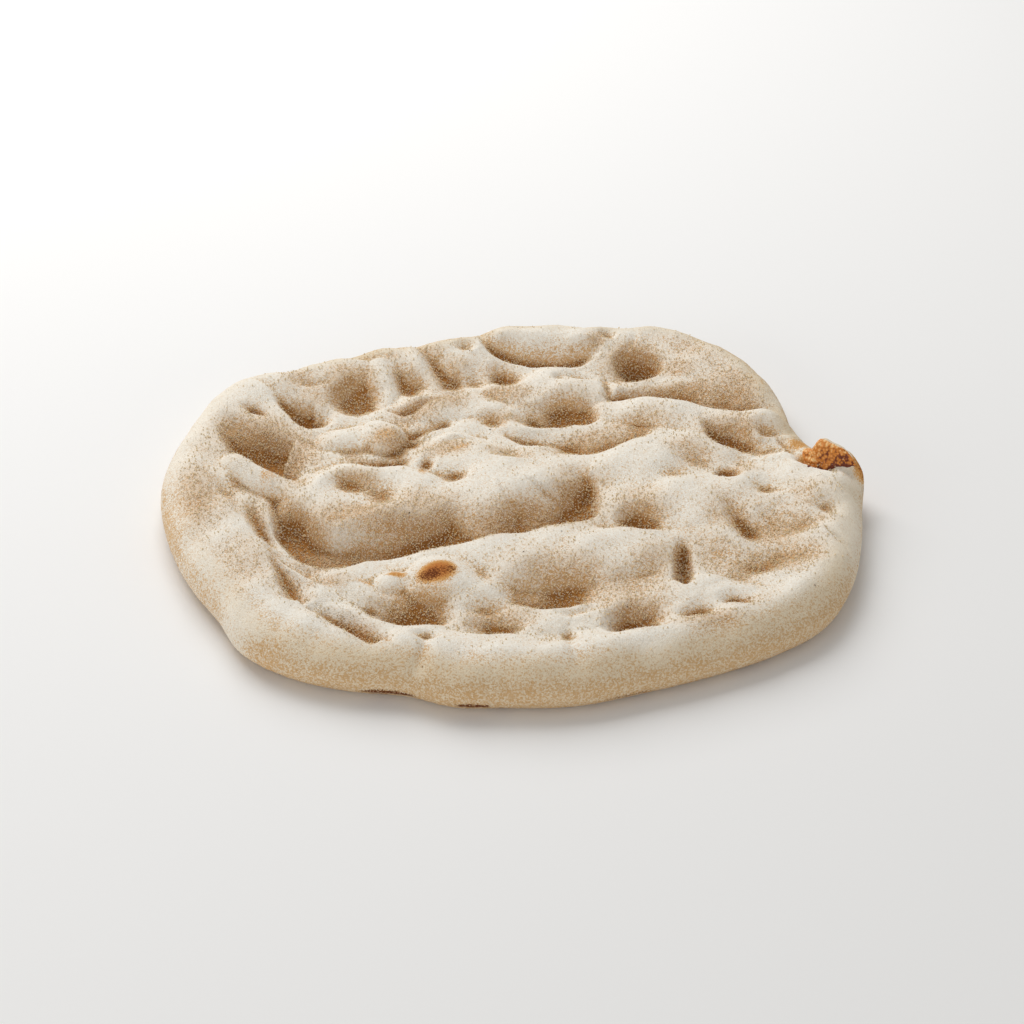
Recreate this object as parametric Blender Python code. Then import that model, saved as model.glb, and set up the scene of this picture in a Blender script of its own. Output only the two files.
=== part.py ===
"""A par-baked pinsa base: one flat oval of dough with a puffed rim, finger presses and a burst bubble."""

import math

import bmesh
import bpy
import numpy as np

for old in list(bpy.data.objects):
    bpy.data.objects.remove(old, do_unlink=True)

MM = 0.001
NODE = "pinsa_base"

# Driving sizes, in millimetres.
RIM_HEIGHT = 21.0      # crest of the rim above the table
FIELD_HEIGHT = 14.0    # dough between the presses, inside the rim
BULGE_HEIGHT = 8.5     # height at which the side of the rim stands out furthest
TUCK = 9.0             # plan width over which the side tucks under to the flat base
FLOOR = 6.0            # the thinnest the dough gets under a press
APRON = 1.6            # reach of the soft slope round a press, as a share of its size
APRON_SHARE = 0.15
LIP = 0.04             # dough pushed up round a press, as a share of its depth
BOTTOM = 0.15          # rounding of the bottom of a press, as a share of its size
SPREAD = 1.2           # reach of a press past its marked size
FOLD_SPREAD = 1.15     # reach of a fold past its marked size
UNION = 3.0            # how softly neighbouring presses run together

# Plan outline: distance from the centre at each bearing, anticlockwise from +X.
OUTLINE = (
    (-170, 142), (-156, 139), (-146, 138), (-137, 142), (-128, 140), (-118, 134.5), (-108, 128.5),
    (-99, 130.5), (-90, 129.5), (-78, 131), (-66, 131.5), (-54, 136), (-43, 143), (-33, 149),
    (-22, 149), (-12, 147.5), (-3, 147.5), (5, 149), (12, 139), (20, 133.5), (32, 142), (44, 149),
    (55, 150), (66, 141), (74, 133.5), (90, 129.5), (102, 124), (114, 126), (126, 131), (136, 136),
    (146, 149), (157, 148), (168, 146.5), (177, 146),
)
# Rim crest height added to RIM_HEIGHT at each bearing.
CREST = (
    (-170, 1.5), (-140, 1.0), (-110, 0.5), (-90, 1.0), (-60, 0.5), (-30, 0.0), (0, -2.0), (25, -1.0),
    (50, 1.5), (80, 3.0), (100, 0.5), (130, 0.5), (150, 1.5),
)

# Plan width over which the side rolls over to the crest, at each bearing.
RIM_ROUND = (
    (-170, 17), (-140, 20), (-90, 21), (-40, 18), (0, 14), (40, 13), (90, 12.5), (130, 14), (160, 16),
)

# How far in from the outline the rim reaches, at each bearing.
RIM_REACH = (
    (-170, 52), (-150, 50), (-125, 42), (-108, 36), (-90, 34), (-62, 33), (-40, 38), (-15, 42),
    (10, 38), (30, 36), (45, 46), (62, 44), (80, 42), (100, 38), (118, 34), (135, 40), (155, 52),
)

# Finger presses: x, y of the deepest point, half length, near reach (-Y), far reach, turn, depth, flatness.
PRESSES = (
    # back left, between the rim and the middle
    (-109, 56, 7, 3, 4, -20, 3.0, 1.4),
    (-66, 70, 12, 11, 12, 6, 6.0, 1.7),
    (-62, 99, 13, 4, 7, 4, 3.0, 1.5),
    (-26, 87, 8, 8, 8, 0, 4.0, 1.4),
    (-3, 90, 8, 8, 12, -12, 5.5, 1.3),
    (-15, 88, 10, 7, 10, 0, 4.0, 1.3),
    (-18, 108, 5, 3, 5, 0, 2.5, 1.6),
    # back right
    (58, 96.5, 11, 8, 9, -3, 10.5, 1.7),
    (26, 61, 14, 9, 14, 2, 8.0, 1.7),
    (34, 60, 6, 9, 13, 0, 5.5, 1.9),
    (13, 58, 11, 7, 10, 0, 6.0, 1.3),
    (-6, 55, 7, 4.5, 6, 10, 1.8, 1.4),
    (46, 116, 5, 4, 5, 0, 2.5, 1.4),
    (22, 85, 4, 3, 4, 0, 2.0, 1.5),
    (31, 88, 10, 3, 5, 0, 2.0, 1.4),
    (93, 14, 6, 4, 5, -5, 4.0, 1.4),
    (79, 24, 14, 8, 11, -25, 2.5, 1.7),
    (108, 1, 10, 5, 9, -20, 2.5, 1.4),
    (131, -16, 8, 5, 8, -30, 2.0, 1.5),
    (130, 14, 11, 4, 4, -38, 6.0, 2.0),
    # middle, with the dish in the left mound
    (-59, -3, 18, 16, 11, -6, 7.0, 1.9),
    (-66, 1, 11, 10, 9, -10, 6.0, 1.6),
    (-34, 19, 4, 4, 6, 0, 3.0, 1.3),
    (-41, 35, 4, 3, 4, 0, 1.5, 1.6),
    (-21, 9, 8, 5, 12, 15, 2.2, 1.2),
    (0, 26, 12, 5, 7, -5, 2.2, 1.5),
    (53, -20, 10, 7, 12, -12, 8.0, 1.3),
    (98, -24, 7, 8, 20, 22, 6.0, 1.2),
    (112, -25, 20, 12, 14, -5, 4.0, 1.5),
    (108, -48, 27, 11, 15, 12, 5.0, 1.5),
    (84, -44, 14, 9, 14, -5, 1.6, 1.6),
    # front
    (89, -80, 8, 4, 8, 5, 4.5, 1.4),
    (77, -87, 11, 6, 9, 0, 3.0, 1.4),
    (51, -94, 12, 5, 15, -6, 10.5, 1.3),
    (18, -73, 23, 6, 21, -6, 7.5, 1.3),
    (30, -82, 12, 4, 6, 10, 3.0, 1.4),
    (-4, -91, 12, 6, 9, 18, 6.0, 1.3),
    (-10, -80, 14, 7, 12, 0, 2.0, 1.4),
    (-38, -84, 17, 8, 12, -3, 9.0, 1.5),
    (-31, -104, 6, 5, 6, 0, 4.0, 1.3),
    (24, -101, 3.5, 6, 9, 0, 2.5, 1.4),
    (-121, -24, 8, 15, 15, 5, 1.2, 1.6),
)

# Folds: flatness of the floor, then points x, y, near (right-hand) and far half width, and depth.
FOLDS = (
    # big press at the back left, with a steep lip at the lower left
    (1.7, (-128, 50, 4, 6, 0.5), (-121, 41, 6, 12, 5), (-113, 28.5, 8, 21, 11),
     (-103, 18.5, 9, 27, 12.5), (-95, 13.5, 9, 27, 12), (-89, 17, 5, 20, 3.5), (-84, 19, 3, 14, 0.6)),
    # hollow behind it
    (1.3, (-114, 78, 2, 4, 1), (-107, 75, 2.5, 5, 1.8), (-101, 70, 3, 5, 2.2), (-96, 64, 4, 8, 5),
     (-91, 58, 5, 12, 8), (-85, 55, 6, 12, 7), (-79, 57, 5, 9, 3)),
    (1.3, (-95, 80, 3, 4, 0.6), (-87, 78.5, 3, 4, 1), (-79, 80, 3, 4, 0.6)),
    # under the left mound, along the rim and across the front
    (1.9, (-97, -6, 4, 6, 0.8), (-95, -14, 5, 8, 3.5), (-90, -24, 7, 9, 9.5), (-81, -35, 11, 10, 10.5),
     (-70, -42, 12, 13, 10), (-58, -39, 9, 13, 7.5), (-46, -37, 8, 14, 8), (-36, -36, 7, 15, 8.5),
     (-24, -35, 7, 17, 7.5), (-12, -32, 8, 17, 5.5), (-2, -28, 7, 18, 3)),
    # valley in front of the middle mound, turning up at its right end
    (1.3, (-14, -29, 6, 14, 3), (-4, -28, 6, 23, 5), (6, -26, 6, 29, 9.5), (16, -21, 6, 29, 10),
     (25, -17, 6, 27, 11.5), (31, -11, 6, 22, 12), (34, -2, 5, 18, 10), (35, 7, 4, 13, 4)),
    # second groove along the rim's inner side
    (1.4, (-107, -6, 5, 4, 0.5), (-105, -15, 6, 4, 2.5), (-101, -26, 6, 4, 4), (-94, -37, 6, 4, 4),
     (-86, -47, 5, 4, 2.5)),
    (1.2, (-125, 3, 3, 9, 0.8), (-119, -5, 3, 12, 1.5), (-114, -14, 3, 10, 1.5), (-110, -22, 3, 6, 0.6)),
    # foot of the rim's inner wall at the back
    (1.3, (-12, 116, 3, 5, 2), (-6, 108, 4, 9, 5.5), (5, 103.5, 4.5, 12, 7.5), (18, 100.5, 5, 12, 8),
     (30, 100, 5, 11, 5.5), (37, 104, 4, 7, 2.5), (42, 109, 3, 4, 1)),
    # behind the long ridge at the back right
    (1.4, (45, 76, 4, 5, 3), (52, 74.5, 5, 8, 5), (62, 73, 5, 8, 5.5), (78, 72.5, 6, 10, 3.5),
     (89, 67.5, 6, 18, 5), (100, 61.5, 6, 22, 7.5), (111, 57.5, 6, 20, 7.5), (123, 54, 5, 14, 4)),
    # up from the hole to the notch between two lobes of the rim
    (1.1, (50, 101, 3, 4, 1.5), (52, 104, 3, 4, 2), (55, 107, 2.5, 3, 1.5), (58, 111, 2, 3, 1),
     (59, 117, 2, 3, 0.5)),
    # small curl at the right end of the mound behind the middle
    (1.2, (42, 88, 3, 3, 1.5), (44, 81, 3, 4, 3.5), (46, 76, 3, 4, 2.5)),
    # two hollows and a valley behind the right rim
    (1.3, (85, 51, 3, 6, 1), (88, 45, 5, 10, 6), (93, 40, 6, 14, 9), (98, 37, 6, 12, 7.5),
     (104, 33, 5, 6, 3)),
    (1.3, (103, 42, 3, 5, 2.5), (108, 39, 4, 8, 4), (114, 38, 4, 7, 4), (121, 38, 3, 5, 2.5)),
    (1.2, (106, 31, 5, 7, 2.5), (113, 29, 5, 7, 3), (120, 27, 4, 5, 2)),
    # valley behind the middle mound
    (1.3, (0, 47, 4, 5, 2), (10, 42, 6, 9, 4), (20, 38.5, 7, 12, 4.5), (28, 33.5, 7.5, 13, 5),
     (37, 34, 7, 12, 4.5), (46, 38, 6, 12, 4.5), (54, 42, 5, 9, 2.5), (61, 46, 5, 6, 0.6)),
    # behind the left mound
    (1.6, (-78, 31, 4, 4, 0.4), (-68, 27, 4, 5, 0.5), (-60, 23, 4, 4, 0.8), (-52, 21, 4, 4, 1.5),
     (-44, 23, 4, 4, 1)),
    # creases between the knob and the rim
    (1.2, (-42, 43, 2.5, 4, 2.5), (-39, 47, 3, 5, 2.5), (-33, 50, 3, 6, 2), (-27, 52, 3, 4, 2)),
    (1.3, (-52, 65, 2, 3, 1.5), (-45, 62, 3, 6, 4), (-38, 65, 3, 6, 3.5), (-30, 71, 3, 5, 2.5),
     (-22, 77, 3, 4, 2)),
    # two creases in the back field, each under a ridge
    (1.2, (-42, 111, 4, 9, 1.5), (-38, 104, 5, 12, 2.2), (-34, 97, 6, 13, 2.2), (-31, 90, 6, 14, 3),
     (-28, 84, 5, 10, 2.2)),
    (1.2, (-56, 98, 4, 8, 1), (-51, 91, 5, 11, 1.6), (-46, 83, 6, 12, 2.2), (-42, 77, 5, 9, 1.6)),
    (1.2, (-28, 34, 2, 3, 1), (-22, 38, 2.5, 3.5, 2), (-15, 37.5, 2, 3, 1)),
    # inner foot of the front-left rim
    (1.3, (-94, -44, 5, 7, 2), (-84, -53, 5, 9, 3.5), (-77, -60, 5, 9, 3), (-70, -67, 5, 9, 2),
     (-62, -74, 5, 9, 2), (-53, -80, 5, 7, 3.5)),
    # dimple and slot in the front-left rim
    (1.3, (-93, -50, 3, 6, 1.5), (-91, -58, 4, 8, 5), (-88, -68, 4, 12, 7.5), (-83, -77, 5, 9, 5)),
    (1.5, (-75, -83, 4, 8, 3), (-68, -90, 6, 10, 7.5), (-60, -97, 6, 11, 9), (-52, -103, 5, 10, 5)),
    # slot in the middle of the right side
    (1.2, (72, -35, 4, 4, 1.5), (72.5, -43, 6, 4, 7), (71.5, -52, 6, 3.5, 10), (69.5, -61, 5, 3.5, 9),
     (70.5, -67, 3, 2.5, 3)),
    # clefts over the front rim
    (1.1, (-32, -108, 4, 5, 2.5), (-34, -115, 4, 7, 2.5), (-37, -122, 4, 9, 3), (-40, -130, 4, 10, 3.5)),
    (1.1, (24, -108, 4, 5, 1.5), (25, -116, 4, 6, 1), (26, -124, 4, 6, 0.5)),
    # wrinkles and creases of the right rim
    (1.2, (112, 40, 2.5, 3, 1.5), (116, 33, 3, 4, 3), (119, 26, 3, 4, 2.5), (125, 19, 3, 3, 2)),
    (1.2, (134, 1, 2, 4, 1.0), (140, -4, 2, 5, 2), (147, -10, 2, 5, 2.5)),
    (1.2, (128, -32, 2, 3, 1.5), (135, -40, 2, 4, 3), (143, -49, 2, 4, 3)),
)

# Mounds and bubbles: x, y, half length, half width, turn, height, and how round the top is (low is blocky).
MOUNDS = (
    (-58, -8, 39, 29, -3, 8.0, 0.7),
    (2, 0, 34, 33, 0, 6.5, 0.8),
    (15, -44, 54, 21, 3, 5.5, 0.9),
    (-27, -62, 17, 14, 0, 6.0, 0.8),
    (-46, -62, 9, 7, 0, 3.0, 0.9),
    (60, 28, 42, 24, 15, 5.0, 1.1),
    (86, 53, 46, 13, -18, 5.5, 0.8),
    (60, 64, 24, 10, 0, 4.5, 0.8),
    (17, 111, 32, 10, 0, 2.5, 0.8),
    (20, 81, 32, 14, 0, 4.5, 0.9),
    (-68, 40, 16, 10, 8, 4.5, 0.8),
    (-54, 40, 10, 11, 0, 6.5, 0.4),
    (74, -4, 38, 21, 0, 4.0, 1.1),
    (118, 4, 32, 16, -15, 3.5, 1.0),
    (74, -72, 24, 14, 10, 4.5, 1.0),
    (-56, 84, 8, 16, 0, 3.5, 0.8),
    (-101, 6, 22, 10, -30, 6.5, 0.7),
    (-14, -68, 16, 14, 0, 2.5, 1.0),
    (36, -80, 12, 14, 0, 2.5, 1.0),
    (-65, -67, 18, 9, -35, 3.0, 0.9),
    (-26, 66, 26, 11, 8, 4.0, 0.9),
    (-22, 27, 25, 17, 0, 4.0, 1.0),
    (-38, 95, 5, 17, 25, 2.5, 0.9),
    (44, -34, 22, 10, 20, 3.0, 1.0),
    (104, 44, 3, 9, 15, 3.0, 1.0),
)

# Burst bubble on the right rim: its wall stands up along this line (x, y, top height, outer, inner width).
FLAP = ((126.5, 27, 17, 2.0, 3), (129.5, 25, 19.5, 2.0, 6), (131.5, 23.8, 24.5, 2.2, 9),
        (133.5, 22.2, 26.5, 2.3, 10), (136.5, 19.8, 26, 2.5, 9), (140, 17, 25.5, 2.6, 6),
        (144.5, 13, 23.5, 2.6, 3.5), (147.5, 9, 19, 2.6, 2.6), (148, 4, 14, 2.4, 2.4))


def periodic(points, bearing):
    """Smooth closed curve through (bearing, value) points, by Catmull-Rom spans."""
    at = np.array([p[0] for p in points], float)
    value = np.array([p[1] for p in points], float)
    order = np.argsort(at)
    at, value = at[order], value[order]
    at = np.concatenate([at[-2:] - 360, at, at[:2] + 360])
    value = np.concatenate([value[-2:], value, value[:2]])
    bearing = (bearing + 180) % 360 - 180
    bearing = np.where(bearing < at[1], bearing + 360, bearing)
    span = np.clip(np.searchsorted(at, bearing, side="right") - 1, 1, len(at) - 3)
    a0, a1, a2, a3 = (at[span + k] for k in (-1, 0, 1, 2))
    v0, v1, v2, v3 = (value[span + k] for k in (-1, 0, 1, 2))
    t = (bearing - a1) / (a2 - a1)
    m1 = (v2 - v0) / (a2 - a0) * (a2 - a1)
    m2 = (v3 - v1) / (a3 - a1) * (a2 - a1)
    bend = (t**3 - 2*t**2 + t) * m1 + (t**3 - t**2) * m2
    return (2*t**3 - 3*t**2 + 1) * v1 + (3*t**2 - 2*t**3) * v2 + bend


def smooth_line(points, per_span=6):
    """Points of a smooth curve through the given ones (all columns are carried along)."""
    p = np.array(points, float)
    p = np.vstack([2 * p[0] - p[1], p, 2 * p[-1] - p[-2]])
    out = []
    for k in range(1, len(p) - 2):
        for t in np.linspace(0, 1, per_span, endpoint=False):
            out.append(0.5 * (2*p[k] + (p[k+1]-p[k-1])*t + (2*p[k-1]-5*p[k]+4*p[k+1]-p[k+2])*t**2
                              + (3*p[k]-p[k-1]-3*p[k+1]+p[k+2])*t**3))
    out.append(p[-2])
    return np.array(out)


def along_line(x, y, points):
    """Distance to a smooth line, which side of it, and the line's other columns at the nearest point."""
    line = smooth_line(points)
    best = np.full(x.shape, 1e9)
    side = np.zeros(x.shape)
    carried = np.zeros(x.shape + (line.shape[1] - 2,))
    past = np.zeros(x.shape)
    last = len(line) - 2
    for k in range(last + 1):
        a, b = line[k], line[k + 1]
        d = b[:2] - a[:2]
        raw = ((x - a[0]) * d[0] + (y - a[1]) * d[1]) / (d @ d)
        t = np.clip(raw, 0, 1)
        px, py = x - a[0] - t * d[0], y - a[1] - t * d[1]
        dist = np.hypot(px, py)
        hit = dist < best
        best = np.where(hit, dist, best)
        side = np.where(hit, d[0] * py - d[1] * px, side)
        carried = np.where(hit[..., None], a[2:] + t[..., None] * (b[2:] - a[2:]), carried)
        over = 0.0
        if k == 0:
            over = np.maximum(-raw, 0) * np.hypot(*d)
        if k == last:
            over = np.maximum(raw - 1, 0) * np.hypot(*d)
        past = np.where(hit, over, past)
    return best, side, carried, past


def local(x, y, cx, cy, turn):
    c, s = math.cos(math.radians(turn)), math.sin(math.radians(turn))
    return (x - cx) * c + (y - cy) * s, (y - cy) * c - (x - cx) * s


def stir(x, y):
    """Shifts plan positions a little, so that no press or mound stays a true oval."""
    dx = 0.9 * np.sin(y / 8.1 + 0.4) + 0.5 * np.sin((x + y) / 6.7 + 2.0) + 0.3 * np.sin((x - 2 * y) / 6.3)
    dy = 0.9 * np.sin(x / 7.7 + 1.1) + 0.5 * np.sin((x - y) / 7.1 + 0.7) + 0.3 * np.sin((2 * x + y) / 7.3)
    return x + dx, y + dy


def uneven(x, y):
    """The slow unevenness of a hand-stretched dough."""
    waves = 0.45 * np.sin(x / 5.3 + y / 9.1 + 0.8) + 0.45 * np.sin(y / 4.9 - x / 11.3 + 2.1)
    waves += 0.3 * np.sin(x / 3.4 - y / 4.1) + 0.3 * np.sin(x / 3.9 + y / 3.1 + 1.3)
    return waves


def rounded(r):
    """A share of the way out from the bottom of a press, with the bottom point rounded off."""
    return (np.sqrt(r * r + BOTTOM ** 2) - BOTTOM) / (math.sqrt(1 + BOTTOM ** 2) - BOTTOM)


def press(x, y, cx, cy, half, near, far, turn, depth, flat):
    """Depth of one finger press, and the lip of dough raised round it."""
    u, v = local(x, y, cx, cy, turn)
    r = np.hypot(u / half, v / np.where(v < 0, near, far))
    bowl = np.clip(1 - rounded(r / SPREAD) ** flat, 0, 1) ** 2
    apron = (1 - np.clip(r / APRON, 0, 1) ** 2) ** 2
    lip = LIP * depth * np.exp(-((r - 1.22) / 0.2) ** 2)
    return depth * ((1 - APRON_SHARE) * bowl + APRON_SHARE * apron), lip


def fold(x, y, flat, *points):
    """Depth of one fold."""
    dist, side, carried, past = along_line(x, y, points)
    width = np.where(side < 0, carried[..., 0], carried[..., 1])
    r = np.clip(dist / width / FOLD_SPREAD, 0, 1)
    return carried[..., 2] * np.clip(1 - rounded(r) ** flat, 0, 1) ** 2


def relief(x, y, inside):
    """Height of the top over the table; inside is the plan distance in from the outline."""
    bearing = np.degrees(np.arctan2(y, x))
    x, y = stir(x, y)
    crest = RIM_HEIGHT + periodic(CREST, bearing)
    reach = periodic(RIM_REACH, bearing)
    start = 0.7 * periodic(RIM_ROUND, bearing)
    t = np.clip((inside - start) / (reach - start), 0, 1)
    level = crest + (FIELD_HEIGHT - crest) * t ** 1.6 * (1 + 0.6 * (1 - t))
    heaped = np.zeros(x.shape)
    for cx, cy, a, b, turn, height, puff in MOUNDS:
        u, v = local(x, y, cx, cy, turn)
        heaped += (height * np.clip(1 - (u / a) ** 2 - (v / b) ** 2, 0, 1) ** puff) ** 2
    level = level + np.sqrt(heaped) + uneven(x, y)
    total = np.zeros(x.shape)
    for p in PRESSES:
        depth, lip = press(x, y, *p)
        total += depth ** UNION
        level = level + lip
    for f in FOLDS:
        total += fold(x, y, *f) ** UNION
    z = level - total ** (1 / UNION)
    return FLOOR + np.logaddexp(0, (z - FLOOR) / 0.8) * 0.8


def flap(x, y, z):
    """Raises the torn wall of the burst bubble out of the rolled side."""
    dist, side, carried, past = along_line(x, y, FLAP)
    top, outer = carried[..., 0], carried[..., 1]
    width = np.where(side < 0, carried[..., 2], outer)
    share = 1 - np.clip((dist - 0.35 * outer) / width, 0, 1)
    share = share * share * (3 - 2 * share) * np.clip(1 - past / 3, 0, 1)
    return np.maximum(z, z + (top - z) * share)


# How the faces of the round blank are shared out: the top with its rolled side, then the tuck below it.
TOP_SHARE = 0.478
TUCK_SHARE = 0.059
ROLL = 1.25            # length of the rolled side over its surface, as a share of its plan width
BLANK_STEPS = 6        # rounds of splitting the faces of the blank
FLAP_REACH = 9.0       # the faces are finer within this distance of the torn wall


def to_dough(unit):
    """Moves points of a unit ball onto the dough's surface, in millimetres."""
    x, y, z = unit.T
    polar = np.arccos(np.clip(z, -1, 1))
    bearing = np.degrees(np.arctan2(y, x))
    east, north = np.cos(np.radians(bearing)), np.sin(np.radians(bearing))
    reach = periodic(OUTLINE, bearing)
    wide = periodic(RIM_ROUND, bearing)
    top_angle = math.acos(1 - 2 * TOP_SHARE)
    tuck_angle = math.acos(1 - 2 * (TOP_SHARE + TUCK_SHARE))
    # top and rolled side
    flat = reach - wide
    path = np.sin(np.minimum(polar, top_angle) / 2) / math.sin(top_angle / 2) * (flat + ROLL * wide)
    roll = np.clip((path - flat) / (ROLL * wide), 0, 1) * math.pi / 2
    r_top = np.where(path < flat, path, flat + wide * np.sin(roll))
    rise = np.where(path < flat, 1.0, np.cos(roll))
    z_top = BULGE_HEIGHT + (relief(r_top * east, r_top * north, reach - r_top) - BULGE_HEIGHT) * rise
    z_top = flap(r_top * east, r_top * north, z_top)
    # tuck under the side
    under = np.clip((polar - top_angle) / (tuck_angle - top_angle), 0, 1) * math.pi / 2
    r_tuck = reach - TUCK * (1 - np.cos(under))
    z_tuck = BULGE_HEIGHT * (1 - np.sin(under))
    # flat base
    inner = np.sin((math.pi - np.maximum(polar, tuck_angle)) / 2) / math.sin((math.pi - tuck_angle) / 2)
    r_flat = (reach - TUCK) * inner
    top = polar <= top_angle
    tuck = (polar > top_angle) & (polar <= tuck_angle)
    r = np.where(top, r_top, np.where(tuck, r_tuck, r_flat))
    height = np.where(top, z_top, np.where(tuck, z_tuck, 0.0))
    return np.stack([r * east, r * north, height], 1)


def build():
    """The round blank of faces, made finer at the torn wall, shaped into dough and set on its base."""
    bm = bmesh.new()
    bmesh.ops.create_icosphere(bm, subdivisions=BLANK_STEPS, radius=1.0)
    spread = to_dough(np.array([v.co[:] for v in bm.verts]))
    dist = along_line(spread[:, 0], spread[:, 1], FLAP)[0]
    near = (dist < FLAP_REACH) & (spread[:, 2] > BULGE_HEIGHT)
    fine = [e for e in bm.edges if near[e.verts[0].index] and near[e.verts[1].index]]
    bmesh.ops.subdivide_edges(bm, edges=fine, cuts=1, use_grid_fill=True)
    bmesh.ops.triangulate(bm, faces=[f for f in bm.faces if len(f.verts) > 3])
    for v in bm.verts:
        v.co.normalize()
    shaped = to_dough(np.array([v.co[:] for v in bm.verts]))
    low, high = shaped.min(0), shaped.max(0)
    shift = np.array([(low[0] + high[0]) / 2, (low[1] + high[1]) / 2, low[2]])
    for v, p in zip(bm.verts, (shaped - shift) * MM):
        v.co = p
    # one clean face for the flat base
    base = [f for f in bm.faces if all(v.co.z < 1e-7 for v in f.verts)]
    edges = {e for f in base for e in f.edges}
    bmesh.ops.dissolve_limit(bm, angle_limit=0.01, verts=[], edges=list(edges), delimit=set())
    bmesh.ops.recalc_face_normals(bm, faces=bm.faces)
    mesh = bpy.data.meshes.new(NODE)
    bm.to_mesh(mesh)
    bm.free()
    return mesh


def crust():
    """Pale baked dough."""
    mat = bpy.data.materials.new(NODE)
    mat.use_nodes = True
    shader = mat.node_tree.nodes["Principled BSDF"]
    shader.inputs["Base Color"].default_value = (0.68, 0.58, 0.43, 1.0)
    shader.inputs["Roughness"].default_value = 0.9
    return mat


dough = bpy.data.objects.new(NODE, build())
dough.data.materials.append(crust())
bpy.context.scene.collection.objects.link(dough)
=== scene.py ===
"""Looks of the par-baked pinsa base: floured crust, loose grains, burst blister, floor, light, camera."""

import math

import bpy
import numpy as np
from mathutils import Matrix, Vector, noise
from mathutils.bvhtree import BVHTree


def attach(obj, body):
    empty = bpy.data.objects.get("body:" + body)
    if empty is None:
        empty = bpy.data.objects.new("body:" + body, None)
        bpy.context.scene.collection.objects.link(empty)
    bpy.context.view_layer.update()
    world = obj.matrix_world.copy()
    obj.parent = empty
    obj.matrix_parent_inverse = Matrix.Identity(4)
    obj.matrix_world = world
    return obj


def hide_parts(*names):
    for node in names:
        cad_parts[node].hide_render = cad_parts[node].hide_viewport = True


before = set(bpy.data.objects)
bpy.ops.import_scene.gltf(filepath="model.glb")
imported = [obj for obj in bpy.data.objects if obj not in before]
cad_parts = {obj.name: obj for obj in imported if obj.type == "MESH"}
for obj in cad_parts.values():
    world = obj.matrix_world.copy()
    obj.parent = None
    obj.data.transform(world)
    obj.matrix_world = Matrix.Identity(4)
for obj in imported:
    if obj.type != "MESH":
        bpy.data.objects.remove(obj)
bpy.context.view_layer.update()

MM = 0.001
NODE = "pinsa_base"

# Driving sizes, in millimetres.
RIM_HEIGHT = 21.0      # crest of the rim above the table
FIELD_HEIGHT = 14.0    # dough between the presses, inside the rim
BULGE_HEIGHT = 8.5     # height at which the side of the rim stands out furthest
TUCK = 9.0             # plan width over which the side tucks under to the flat base
FLOOR = 6.0            # the thinnest the dough gets under a press
APRON = 1.6            # reach of the soft slope round a press, as a share of its size
APRON_SHARE = 0.15
LIP = 0.04             # dough pushed up round a press, as a share of its depth
BOTTOM = 0.15          # rounding of the bottom of a press, as a share of its size
SPREAD = 1.2           # reach of a press past its marked size
FOLD_SPREAD = 1.15     # reach of a fold past its marked size
UNION = 3.0            # how softly neighbouring presses run together

# Plan outline: distance from the centre at each bearing, anticlockwise from +X.
OUTLINE = (
    (-170, 142), (-156, 139), (-146, 138), (-137, 142), (-128, 140), (-118, 134.5), (-108, 128.5),
    (-99, 130.5), (-90, 129.5), (-78, 131), (-66, 131.5), (-54, 136), (-43, 143), (-33, 149),
    (-22, 149), (-12, 147.5), (-3, 147.5), (5, 149), (12, 139), (20, 133.5), (32, 142), (44, 149),
    (55, 150), (66, 141), (74, 133.5), (90, 129.5), (102, 124), (114, 126), (126, 131), (136, 136),
    (146, 149), (157, 148), (168, 146.5), (177, 146),
)

# Rim crest height added to RIM_HEIGHT at each bearing.
CREST = (
    (-170, 1.5), (-140, 1.0), (-110, 0.5), (-90, 1.0), (-60, 0.5), (-30, 0.0), (0, -2.0), (25, -1.0),
    (50, 1.5), (80, 3.0), (100, 0.5), (130, 0.5), (150, 1.5),
)

# Plan width over which the side rolls over to the crest, at each bearing.
RIM_ROUND = (
    (-170, 17), (-140, 20), (-90, 21), (-40, 18), (0, 14), (40, 13), (90, 12.5), (130, 14), (160, 16),
)

# How far in from the outline the rim reaches, at each bearing.
RIM_REACH = (
    (-170, 52), (-150, 50), (-125, 42), (-108, 36), (-90, 34), (-62, 33), (-40, 38), (-15, 42),
    (10, 38), (30, 36), (45, 46), (62, 44), (80, 42), (100, 38), (118, 34), (135, 40), (155, 52),
)

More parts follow.
